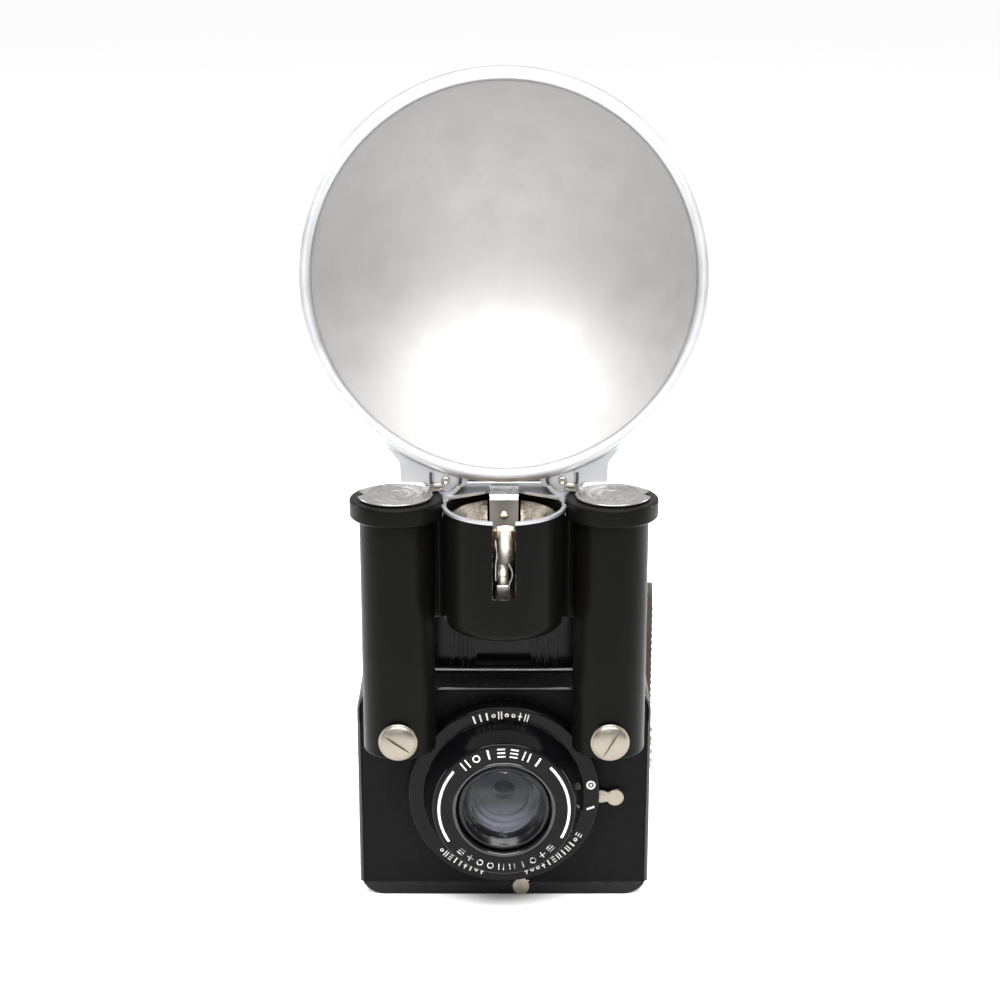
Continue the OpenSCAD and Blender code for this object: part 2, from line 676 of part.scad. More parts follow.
module socket_shell() color("#a59d90") difference() {
    translate([0, tube_y, 0]) rotate_extrude($fn = 96) polygon(concat(
        [[bulb_r, socket_z0]], [[bulb_r + socket_t, socket_z0], [bulb_r + socket_t, neck_z]],
        [for (i = [1 : 8]) [bulb_r + socket_t + (cup_r - bulb_r - socket_t) * pow(i / 8, 1.4),
            neck_z + (cup_z - neck_z) * (i / 8)]],
        [for (i = [8 : -1 : 1]) [bulb_r + (cup_r - 0.7 - bulb_r) * pow(i / 8, 1.4),
            neck_z + 0.6 + (cup_z - neck_z - 0.2) * (i / 8)]], [[bulb_r, neck_z + 0.6]]));
    // notch that clears the spring latch
    box(-latch_w / 2 - 0.8, latch_w / 2 + 0.8, tube_y + bulb_r + 2, tube_y + 30, neck_z, cup_z + 3);
    // gap for the contact finger
    box(-2.6, 2.6, tube_y - cup_r - 4, tube_y - bulb_r - 2, neck_z + 3, cup_z + 3);
}

module socket_insulator() color("#6b4630") translate([0, tube_y, shroud_z0 + 1.5]) difference() {
    cylinder(r = 15.5, h = socket_z0 - shroud_z0 - 1.5);
    translate([0, 0, -1]) cylinder(r = 2.05, h = 20);
    // recess in the socket's floor for the contact's head
    translate([0, 0, socket_z0 - shroud_z0 - 3]) cylinder(r = 7, h = 2);
}

module centre_contact() color("#b9975a") translate([0, tube_y, 0]) {
    translate([0, 0, shroud_z0 + 1.6]) cylinder(r = 2, h = socket_z0 - shroud_z0 - 3);
    translate([0, 0, socket_z0 - 1.5]) cylinder(r = 3.2, h = 1.2);
}

// bent strip that stands between the socket and the shroud's slot
module contact_finger() color("#c8bda6") {
    y0 = tube_y - bulb_r - socket_t - 3.6;
    box(-2.2, 2.2, y0, y0 + 0.7, socket_z0 + 0.3, neck_z + 2);
    box(-3.6, 3.6, y0 - 3, y0 + 1.8, socket_z0 + 0.05, socket_z0 + 1);
    box(-2.2, 2.2, y0 - 1.6, y0 + 0.6, neck_z + 2, neck_z + 2.7);
}

// steel strip hooked over the plate's rear edge, resting behind the bulb's base
module bulb_latch() color("#8f9190") {
    box(-latch_w / 2, latch_w / 2, latch_y - 3.85, latch_y + 2, latch_z, latch_z + latch_t);
    hull() {
        // rolled bend about which the strip flexes
        translate([-latch_w / 2, latch_y - 3.85, latch_z + latch_t / 2]) rotate([0, 90, 0])
            cylinder(r = 0.45, h = latch_w);
        box(-latch_w / 2, latch_w / 2, tube_y + 12.6, tube_y + 13.3, 156, 156.1);
    }
}

module latch_rivet() color("#c5c3bd") translate([0, tube_y + 14.1, 164.4]) rotate([80, 0, 0])
    cylinder(r = 1.7, h = 1.3);

body_shell();
front_panel();
bottom_plate();
back_door();
door_hinge_pin();
door_latch();
red_window();
pressure_plate();
film_cone();
supply_spool();
take_up_spool();
winding_key();
lens_flange();
lens_cone();
lens_hub();
lens_cell();
front_lens();
mode_lever();
focus_lever();
shutter_plate();
shutter_blade();
shutter_release();
release_spring();
finder_housing();
finder_front_lens();
finder_rear_lens();
strap();
strap_stud();
panel_screws();
tube_left();
tube_right();
web_left();
web_right();
shroud();
top_plate();
hinge_lugs();
hinge_rod();
reflector();
cover_left();
cover_right();
cover_rivet_left();
cover_rivet_right();
cover_contact_left();
cover_contact_right();
cell_left();
cell_right();
cell_spring_left();
cell_spring_right();
cell_insulator_left();
cell_insulator_right();
thumb_screw_left();
thumb_screw_right();
socket_shell();
socket_insulator();
centre_contact();
contact_finger();
bulb_latch();
latch_rivet();
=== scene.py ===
import json
import math
import random

import bpy
import bmesh
from mathutils import Matrix, Vector


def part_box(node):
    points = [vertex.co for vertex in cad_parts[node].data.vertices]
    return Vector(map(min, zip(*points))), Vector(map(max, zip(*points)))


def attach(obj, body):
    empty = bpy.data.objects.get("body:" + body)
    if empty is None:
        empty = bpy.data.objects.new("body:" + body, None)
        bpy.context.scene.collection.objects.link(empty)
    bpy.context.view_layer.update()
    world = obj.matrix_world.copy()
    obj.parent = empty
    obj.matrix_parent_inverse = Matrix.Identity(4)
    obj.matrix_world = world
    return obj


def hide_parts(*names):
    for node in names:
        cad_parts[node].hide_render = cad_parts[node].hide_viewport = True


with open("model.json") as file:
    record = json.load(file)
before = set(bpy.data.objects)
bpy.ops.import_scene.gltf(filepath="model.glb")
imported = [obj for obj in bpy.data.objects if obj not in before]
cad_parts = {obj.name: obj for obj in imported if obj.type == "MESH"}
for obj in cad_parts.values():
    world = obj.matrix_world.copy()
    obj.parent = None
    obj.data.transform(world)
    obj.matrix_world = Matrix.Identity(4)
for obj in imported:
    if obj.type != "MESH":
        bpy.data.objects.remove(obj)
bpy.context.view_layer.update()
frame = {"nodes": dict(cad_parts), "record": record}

MM = 0.001
SHARP = 35  # degrees: edges that turn by more stay sharp
PLATE_SHARP = 40  # the same for plates and strips
BAR_SHARP = 60  # the same for round bars
STRIP_CORNER = 0.15  # chamfer along the edges of a metal strip
ON_AXIS = 1e-6  # millimetres: a profile point nearer the axis lies on it
WELD = 1e-6  # metres: points nearer than this become one

# ---- places taken from the frame, in millimetres ----


def low(node):
    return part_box(node)[0] / MM


def high(node):
    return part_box(node)[1] / MM


def middle(node):
    return (low(node) + high(node)) / 2


PANEL_Y = low("front_panel").y
CAMERA_HALF_W = high("front_panel").x
CAMERA_TOP = high("body_shell").z
LENS_Z = middle("lens_flange").z
TUBE_X = middle("thumb_screw_right").x
TUBE_Y = middle("cell_right").y
TUBE_R = 14.25
TUBE_Z0, TUBE_Z1 = low("tube_right").z, high("tube_right").z
SHROUD_R = high("shroud").x
SHROUD_Z0, SHROUD_Z1 = low("shroud").z, high("shroud").z
PLATE_Z1 = high("top_plate").z
COVER_Z = low("cover_right").z
SCREW_Z = middle("thumb_screw_right").z
HINGE_Y = middle("hinge_rod").y

# reflector
BOWL_R = 74.0
BOWL_DEPTH = 39.0
BOWL_POWER = 2.2
NECK_BACK = 2.2  # from the bowl's opening back to the neck's plane
SHEET_T = 0.9
LEAN = math.radians(8)
BOWL_Y = TUBE_Y + 21.3
BOWL_Z = 256.5


# ---- mesh helpers ----


def arc(cx, cy, r, a0, a1, n):
    """Points of an arc in degrees, both ends included."""
    return [(cx + r * math.cos(math.radians(a0 + (a1 - a0) * i / n)),
             cy + r * math.sin(math.radians(a0 + (a1 - a0) * i / n))) for i in range(n + 1)]


def fillet(points, steps=4, closed=False):
    """Rounds each corner (x, y, radius) of an outline; points without a radius stay sharp."""
    out = []
    count = len(points)
    for i, point in enumerate(points):
        radius = point[2] if len(point) > 2 else 0
        if radius <= 0 or (not closed and i in (0, count - 1)):
            out.append((point[0], point[1]))
            continue
        here = Vector(point[:2])
        to_last = Vector(points[i - 1][:2]) - here
        to_next = Vector(points[(i + 1) % count][:2]) - here
        angle = to_last.angle(to_next)
        cut = min(radius / math.tan(angle / 2), 0.49 * to_last.length, 0.49 * to_next.length)
        start = here + to_last.normalized() * cut
        end = here + to_next.normalized() * cut
        for k in range(steps + 1):
            t = k / steps
            spot = start * (1 - t) ** 2 + here * 2 * t * (1 - t) + end * t ** 2
            out.append((spot.x, spot.y))
    return out


def new_object(name, verts, faces, sharp=SHARP):
    """A mesh object from points in millimetres, smooth except along edges sharper than the angle."""
    mesh = bpy.data.meshes.new(name)
    mesh.from_pydata([Vector(v) * MM for v in verts], [], faces)
    finish_mesh(mesh, sharp)
    obj = bpy.data.objects.new(name, mesh)
    bpy.context.scene.collection.objects.link(obj)
    return obj


def finish_mesh(mesh, sharp=SHARP):
    """Joins doubled points, turns the faces outwards and shades them smooth."""
    bm = bmesh.new()
    bm.from_mesh(mesh)
    bmesh.ops.remove_doubles(bm, verts=bm.verts, dist=WELD)
    bmesh.ops.recalc_face_normals(bm, faces=bm.faces)
    for face in bm.faces:
        face.smooth = True
    bm.to_mesh(mesh)
    bm.free()
    mesh.set_sharp_from_angle(angle=math.radians(sharp))
    mesh.update()


def turned(axis, degrees):
    """A turn about one of the axes through the origin."""
    return Matrix.Rotation(math.radians(degrees), 4, axis)


ALONG_Y = turned("X", 90)  # local +Z looks along -Y, local +Y along +Z


def at(x, y, z, turn=None):
    """A place, with a turn made there first."""
    return Matrix.Translation((x, y, z)) @ (turn if turn is not None else Matrix.Identity(4))


def lathe(name, profile, place, segments=96, closed=False, sharp=SHARP):
    """Turns a profile of (radius, height) about +Z. A closed profile makes a ring."""
    verts, faces = [], []
    count = len(profile)
    for i in range(segments):
        a = 2 * math.pi * i / segments
        verts += [(r * math.cos(a), r * math.sin(a), h) for r, h in profile]
    for i in range(segments):
        j = (i + 1) % segments
        for k in range(count if closed else count - 1):
            m = (k + 1) % count
            ring = [i * count + k, j * count + k, j * count + m, i * count + m]
            if profile[k][0] < ON_AXIS:
                ring.pop(1)
            elif profile[m][0] < ON_AXIS:
                ring.pop(2)
            faces.append(ring)
    return new_object(name, [place @ Vector(v) for v in verts], faces, sharp)


def plate(name, outlines, thickness, edge, place, steps=3):
    """A flat sheet with rounded edges: the first outline is its border, the rest are holes.
    It fills local z from 0 to thickness."""
    curve = bpy.data.curves.new(name, "CURVE")
    curve.dimensions = "2D"
    curve.fill_mode = "BOTH"
    curve.extrude = (thickness / 2 - edge) * MM
    curve.bevel_depth = edge * MM
    curve.bevel_resolution = steps
    curve.offset = -edge * MM
    for outline in outlines:
        spline = curve.splines.new("POLY")
        spline.points.add(len(outline) - 1)
        spline.use_cyclic_u = True
        for point, (x, y) in zip(spline.points, outline):
            point.co = (x * MM, y * MM, 0, 1)
    holder = bpy.data.objects.new(name + "_curve", curve)
    bpy.context.scene.collection.objects.link(holder)
    bpy.context.view_layer.update()
    mesh = bpy.data.meshes.new_from_object(holder.evaluated_get(bpy.context.evaluated_depsgraph_get()))
    bpy.data.objects.remove(holder)
    bpy.data.curves.remove(curve)
    shift = Matrix.Translation((0, 0, thickness / 2))
    to_metres = Matrix.Diagonal((MM, MM, MM, 1))
    mesh.transform(to_metres @ place @ shift @ to_metres.inverted())
    finish_mesh(mesh, PLATE_SHARP)
    obj = bpy.data.objects.new(name, mesh)
    mesh.name = name
    bpy.context.scene.collection.objects.link(obj)
    return obj


def sweep(name, path, radius, sides, place=None):
    """A round bar along a path of points."""
    points = [Vector(p) for p in path]
    last = len(points) - 1
    verts, faces = [], []
    normal = None
    for i, point in enumerate(points):
        tangent = (points[min(i + 1, last)] - points[max(i - 1, 0)]).normalized()
        if normal is None:
            normal = tangent.orthogonal().normalized()
        normal = (normal - tangent * normal.dot(tangent)).normalized()
        side = tangent.cross(normal)
        for k in range(sides):
            a = 2 * math.pi * k / sides
            verts.append(point + (normal * math.cos(a) + side * math.sin(a)) * radius)
    for i in range(last):
        for k in range(sides):
            m = (k + 1) % sides
            faces.append([i * sides + k, i * sides + m, (i + 1) * sides + m, (i + 1) * sides + k])
    faces.append(list(range(sides))[::-1])
    faces.append([last * sides + k for k in range(sides)])
    if place is not None:
        verts = [place @ v for v in verts]
    return new_object(name, verts, faces, BAR_SHARP)


def block(name, lo, hi, edge=0.3, steps=2):
    """A box between two corners with rounded edges."""
    outline = [(lo[0], lo[1], edge * 1.5), (hi[0], lo[1], edge * 1.5), (hi[0], hi[1], edge * 1.5),
               (lo[0], hi[1], edge * 1.5)]
    return plate(name, [fillet(outline, 3, True)], hi[2] - lo[2], edge, at(0, 0, lo[2]), steps=steps)


def cut(obj, *tools, mode="DIFFERENCE"):
    """Cuts the tools out of a closed piece, or joins them to it with UNION."""
    for tool in tools:
        change = obj.modifiers.new("cut", "BOOLEAN")
        change.operation = mode
        change.solver = "EXACT"
        change.object = tool
    bpy.context.view_layer.update()
    mesh = bpy.data.meshes.new_from_object(obj.evaluated_get(bpy.context.evaluated_depsgraph_get()))
    obj.modifiers.clear()
    obj.data = mesh
    for tool in tools:
        bpy.data.objects.remove(tool)
    finish_mesh(mesh)


def prism(name, outline, z0, z1, place=Matrix.Identity(4)):
    """A closed sharp-edged solid from an outline, from local z0 to z1."""
    n = len(outline)
    verts = [(x, y, z0) for x, y in outline] + [(x, y, z1) for x, y in outline]
    faces = [list(range(n)), list(range(n, 2 * n))[::-1]]
    faces += [[i, (i + 1) % n, n + (i + 1) % n, n + i] for i in range(n)]
    return new_object(name, [place @ Vector(v) for v in verts], faces)


def box_outline(x0, x1, y0, y1, r=0):
    """A rectangle with rounded corners."""
    return fillet([(x0, y0, r), (x1, y0, r), (x1, y1, r), (x0, y1, r)], 4, True)


def strip(name, path, width, thickness, x=0.0, bow=0.0):
    """A metal strip bent along a path of (y, z) points, and bowed forward across its width."""
    hw, ht, c = width / 2, thickness / 2, STRIP_CORNER
    between = [hw * i / 6 for i in range(-5, 6)] if bow else []
    lower = [(-hw + c, -ht)] + [(a, -ht) for a in between] + [(hw - c, -ht)]
    upper = [(a, -h) for a, h in reversed(lower)]
    ring = [(-hw, -ht + c)] + lower + [(hw, -ht + c), (hw, ht - c)] + upper + [(-hw, ht - c)]
    ring = [(a, h + bow * (1 - (a / hw) ** 2)) for a, h in ring]
    points = [Vector(p) for p in path]
    verts, faces = [], []
    for i, point in enumerate(points):
        along = (points[min(i + 1, len(points) - 1)] - points[max(i - 1, 0)]).normalized()
        normal = Vector((-along.y, along.x))
        for across, up in ring:
            spot = point + normal * up
            verts.append((x + across, spot.x, spot.y))
    k = len(ring)
    for i in range(len(points) - 1):
        for j in range(k):
            m = (j + 1) % k
            faces.append([i * k + j, i * k + m, (i + 1) * k + m, (i + 1) * k + j])
    faces.append(list(range(k))[::-1])
    faces.append([(len(points) - 1) * k + j for j in range(k)])
    return new_object(name, verts, faces, PLATE_SHARP)


def round_edges(obj, width, segments=2, angle=38):
    """Rounds the edges of a piece that turn by more than the angle."""
    bevel = obj.modifiers.new("bevel", "BEVEL")
    bevel.width = width * MM
    bevel.segments = segments
    bevel.limit_method = "ANGLE"
    bevel.angle_limit = math.radians(angle)
    bevel.harden_normals = True


def join(name, objects):
    """One object from several, before it gets its material."""
    depsgraph = bpy.context.evaluated_depsgraph_get()
    bm = bmesh.new()
    for obj in objects:
        bpy.context.view_layer.update()
        part = bpy.data.meshes.new_from_object(obj.evaluated_get(depsgraph))
        part.transform(obj.matrix_world)
        bm.from_mesh(part)
        bpy.data.meshes.remove(part)
        bpy.data.objects.remove(obj)
    mesh = bpy.data.meshes.new(name)
    bm.to_mesh(mesh)
    bm.free()
    out = bpy.data.objects.new(name, mesh)
    bpy.context.scene.collection.objects.link(out)
    return out


def place_piece(obj, body, slot, material, *nodes):
    """Sets the piece's material and body, and hides the CAD nodes that it stands for. The slot argument is not
    used.
    """
    obj.data.materials.clear()
    obj.data.materials.append(MAT[material])
    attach(obj, body)
    if nodes:
        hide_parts(*nodes)


# ---- materials ----


class Surface:
    """Builds one procedural material on object coordinates, in metres."""

    def __init__(self, name, color, rough, metallic=0.0, **sockets):
        self.material = bpy.data.materials.new(name)
        self.material.use_nodes = True
        self.tree = self.material.node_tree
        self.shader = self.tree.nodes["Principled BSDF"]
        self.shader.inputs["Metallic"].default_value = metallic
        for socket, value in sockets.items():
            self.shader.inputs[socket.replace("_", " ")].default_value = value
        self.coords = self.tree.nodes.new("ShaderNodeTexCoord").outputs["Object"]
        self.color = (*color, 1.0)
        self.rough = rough
        self.normal = None

    def node(self, kind, **inputs):
        made = self.tree.nodes.new(kind)
        for socket, value in inputs.items():
            self.link_or_set(value, made.inputs[socket.replace("_", " ")])
        return made

    def noise(self, size, detail=3.0, roughness=0.55, stretch=None, distortion=0.0):
        """Noise with features of about the given size in metres; stretch scales the coordinates."""
        vector = self.coords
        if stretch:
            vector = self.node("ShaderNodeMapping", Vector=vector, Scale=stretch).outputs["Vector"]
        made = self.node("ShaderNodeTexNoise", Vector=vector, Scale=1 / size, Detail=detail,
                         Roughness=roughness, Distortion=distortion)
        return made.outputs["Fac"]

    def cells(self, size):
        """Rounded grains of about the given size in metres."""
        return self.node("ShaderNodeTexVoronoi", Vector=self.coords, Scale=1 / size).outputs["Distance"]

    def ramp(self, source, start, end, a=0.0, b=1.0):
        """Maps source from start..end to a..b, clamped."""
        made = self.node("ShaderNodeMapRange", Value=source, From_Min=start, From_Max=end, To_Min=a, To_Max=b)
        return made.outputs["Result"]

    def math(self, operation, a, b):
        made = self.tree.nodes.new("ShaderNodeMath")
        made.operation = operation
        for socket, value in zip(made.inputs, (a, b)):
            self.link_or_set(value, socket)
        return made.outputs[0]

    def mix(self, data_type, first, factor, a, b):
        """Mix node of a data type, whose two values start at the socket first."""
        made = self.tree.nodes.new("ShaderNodeMix")
        made.data_type = data_type
        for index, value in ((0, factor), (first, a), (first + 1, b)):
            self.link_or_set(value, made.inputs[index])
        return made

    def mix_color(self, factor, other):
        """Blends the colour so far towards another one."""
        self.color = self.mix("RGBA", 6, factor, self.color, (*other, 1.0)).outputs[2]

    def mix_rough(self, factor, other):
        """Blends the roughness so far towards another one."""
        self.rough = self.mix("FLOAT", 2, factor, self.rough, other).outputs[0]

    def link_or_set(self, value, socket):
        if hasattr(value, "is_output"):
            self.tree.links.new(value, socket)
        else:
            socket.default_value = value

    def bump(self, height, depth):
        """Adds relief of about the given depth in metres."""
        made = self.node("ShaderNodeBump", Height=height, Strength=1.0, Distance=depth)
        if self.normal is not None:
            self.tree.links.new(self.normal, made.inputs["Normal"])
        self.normal = made.outputs["Normal"]

    def edges(self, radius=0.0005):
        """One along edges, where the surface turns within the radius."""
        rounded = self.node("ShaderNodeBevel", Radius=radius)
        rounded.samples = 4
        agree = self.tree.nodes.new("ShaderNodeVectorMath")
        agree.operation = "DOT_PRODUCT"
        self.tree.links.new(rounded.outputs["Normal"], agree.inputs[0])
        self.tree.links.new(self.node("ShaderNodeNewGeometry").outputs["Normal"], agree.inputs[1])
        return self.ramp(agree.outputs["Value"], 0.99, 0.9)

    def done(self):
        self.link_or_set(self.color, self.shader.inputs["Base Color"])
        self.link_or_set(self.rough, self.shader.inputs["Roughness"])
        if self.normal is not None:
            self.tree.links.new(self.normal, self.shader.inputs["Normal"])
        return self.material


def enamel(name, color, rough, gleam=0.1):
    """Stoved black enamel: faint orange peel, dust and rubbed patches."""
    s = Surface(name, color, rough, Specular_IOR_Level=gleam)
    s.mix_rough(s.ramp(s.noise(0.03, 4), 0.4, 0.7), rough + 0.06)
    specks = s.ramp(s.noise(0.0011, 2, 0.6), 0.70, 0.78)
    s.mix_color(s.math("MULTIPLY", specks, 0.06), (0.10, 0.095, 0.09))
    s.mix_color(s.ramp(s.noise(0.04, 4), 0.4, 0.7, 0, 0.35), tuple(1.7 * c for c in color))
    s.mix_color(s.math("MULTIPLY", s.edges(), s.ramp(s.noise(0.003, 4), 0.48, 0.62, 0, 0.7)),
                (0.12, 0.115, 0.11))
    s.bump(s.noise(0.0014, 2), 0.000006)
    scratches = s.ramp(s.noise(0.0006, 2, 0.5, (1, 1, 0.05)), 0.66, 0.72)
    s.bump(scratches, 0.000006)
    return s.done()


def crackle(name, color, rough):
    """Crinkle-finish paint: small raised wrinkles with shiny tops."""
    s = Surface(name, color, rough, Specular_IOR_Level=0.06)
    wrinkles = s.cells(0.0009)
    fine = s.noise(0.0006, 3, 0.6)
    height = s.math("ADD", wrinkles, fine)
    s.bump(height, 0.00008)
    s.mix_rough(s.ramp(height, 0.7, 1.3), rough + 0.15)
    s.mix_color(s.ramp(s.noise(0.03, 4), 0.4, 0.75, 0, 0.4), tuple(1.6 * c for c in color))
    s.mix_color(s.math("MULTIPLY", s.edges(), 0.4), (0.09, 0.085, 0.08))
    return s.done()


def leatherette(name, color, rough, gleam):
    """Black pebbled covering, rubbed smooth and grey along the edges."""
    s = Surface(name, color, rough, Specular_IOR_Level=gleam)
    pebbles = s.math("ADD", s.cells(0.0013), s.math("MULTIPLY", s.noise(0.0007, 3), 0.5))
    s.bump(pebbles, 0.00011)
    s.mix_rough(s.ramp(pebbles, 0.4, 0.9), rough + 0.2)
    s.mix_color(s.ramp(s.noise(0.02, 4), 0.45, 0.75, 0, 0.5), tuple(2.2 * c for c in color))
    s.mix_color(s.math("MULTIPLY", s.edges(), s.ramp(s.noise(0.004, 4), 0.4, 0.65)), (0.05, 0.048, 0.045))
    return s.done()


def plated(name, color, rough, tarnish=(0.35, 0.29, 0.2), dents=0.00001):
    """Worn nickel plate: fine hairlines, dull patches and tarnish in the low spots."""
    s = Surface(name, color, rough, 1.0)
    s.mix_color(s.ramp(s.noise(0.005, 5, 0.6), 0.5, 0.75, 0, 0.35), tarnish)
    s.mix_color(s.math("MULTIPLY", s.ramp(s.noise(0.0007, 3, 0.6), 0.66, 0.74), 0.4), tarnish)
    s.mix_rough(s.ramp(s.noise(0.002, 4), 0.4, 0.7), rough + 0.14)
    s.bump(s.noise(0.00025, 2, 0.6, (1, 0.12, 1)), 0.000004)
    s.bump(s.noise(0.0025, 2), dents)
    return s.done()


def sheet_metal(name, color, rough, tint=(0.5, 0.5, 0.5)):
    """Rolled sheet: long fine grain and small smudges."""
    s = Surface(name, color, rough, 1.0)
    streaks = s.noise(0.0004, 3, 0.6, (1, 1, 0.06))
    s.mix_rough(s.ramp(streaks, 0.3, 0.7), rough + 0.16)
    s.mix_color(s.ramp(s.noise(0.006, 4), 0.5, 0.75, 0, 0.5), tint)
    s.bump(streaks, 0.000008)
    s.bump(s.noise(0.003, 3), 0.00003)
    return s.done()


def spun_aluminium(name, color, rough):
    """Spun and satin-rubbed aluminium with rubs, specks and a few dark scratches."""
    s = Surface(name, color, rough, 1.0)
    smudge = s.noise(0.03, 5, 0.6)
    s.mix_color(s.ramp(smudge, 0.35, 0.7, 0, 0.2), tuple(0.86 * c for c in color))
    s.mix_rough(s.ramp(s.noise(0.012, 5), 0.35, 0.7), rough + 0.1)
    specks = s.ramp(s.noise(0.0022, 3, 0.6), 0.735, 0.77)
    s.mix_color(s.math("MULTIPLY", specks, 0.5), (0.3, 0.3, 0.31))
    scratch = s.ramp(s.noise(0.0035, 2, 0.5, (1, 1, 0.22), 1.5), 0.72, 0.735)
    s.mix_color(s.math("MULTIPLY", scratch, 0.55), (0.33, 0.33, 0.34))
    s.bump(s.noise(0.00045, 2, 0.6, (1, 1, 0.1)), 0.000012)
    s.bump(s.noise(0.0005, 2, 0.6, (0.1, 1, 1)), 0.000008)
    s.bump(s.noise(0.02, 2), 0.00006)
    return s.done()


def painted_light_barrel(name, color, pale, low_z, high_z):
    """Dull grey barrel paint, faintly mottled, with painted light: paler towards its bottom, where the barrel's
    lower inside is lit from above.
    """
    s = Surface(name, color, 0.6)
    split = s.node("ShaderNodeSeparateXYZ", Vector=s.coords)
    # Painted light: pale below low_z, fading to the barrel's own dark grey at high_z.
    s.mix_color(s.ramp(split.outputs["Z"], high_z * MM, low_z * MM), pale)
    s.mix_color(s.ramp(s.noise(0.003, 4), 0.5, 0.7, 0, 0.3), tuple(0.6 * c for c in color))
    s.bump(s.noise(0.0008, 2), 0.00002)
    return s.done()


def leather(name, color):
    """Brown-black strap leather, creased, with browner rubbed edges."""
    s = Surface(name, color, 0.55)
    pebble = s.cells(0.0011)
    s.bump(pebble, 0.00012)
    s.bump(s.noise(0.006, 4), 0.0003)
    s.mix_rough(s.ramp(s.noise(0.004, 4), 0.4, 0.7), 0.78)
    s.mix_color(s.ramp(s.noise(0.008, 5), 0.45, 0.7, 0, 0.6), (0.09, 0.06, 0.045))
    s.mix_color(s.math("MULTIPLY", s.edges(), 0.6), (0.16, 0.11, 0.08))
    return s.done()


def plastic(name, color):
    """Moulded plastic, unevenly dulled."""
    rough = 0.35
    s = Surface(name, color, rough)
    s.mix_rough(s.ramp(s.noise(0.005, 4), 0.4, 0.7), rough + 0.15)
    s.mix_color(s.ramp(s.noise(0.01, 4), 0.45, 0.75, 0, 0.4), tuple(min(1, 1.8 * c) for c in color))
    s.bump(s.noise(0.0008, 2), 0.00001)
    return s.done()


def fibre_board(name, color):
    """Pressed fibre board with a faint grain."""
    s = Surface(name, color, 0.8)
    s.mix_color(s.ramp(s.noise(0.001, 4, 0.7, (1, 1, 0.2)), 0.4, 0.6), tuple(1.6 * c for c in color))
    s.bump(s.noise(0.0006, 3), 0.00005)
    return s.done()


def glass(name, color, rough=0.02, transmission=1.0):
    """Clear glass, a little smeared."""
    s = Surface(name, color, rough, Transmission_Weight=transmission, IOR=GLASS_IOR)
    s.mix_rough(s.ramp(s.noise(0.003, 4), 0.5, 0.75), rough + 0.05)
    s.bump(s.noise(0.004, 2), 0.000001)
    return s.done()


def paint_mark(name, color, worn):
    """Old white filling in a stamped mark; worn is the share that has gone."""
    s = Surface(name, color, 0.5)
    s.mix_color(s.ramp(s.noise(0.0012, 4), 0.66 - 0.3 * worn, 0.78 - 0.3 * worn, 0, 0.95), (0.06, 0.06, 0.06))
    s.bump(s.noise(0.0004, 2), 0.00003)
    return s.done()


GLASS_IOR = 1.24  # below that of real glass, so that the lens mirrors as little as in the photo

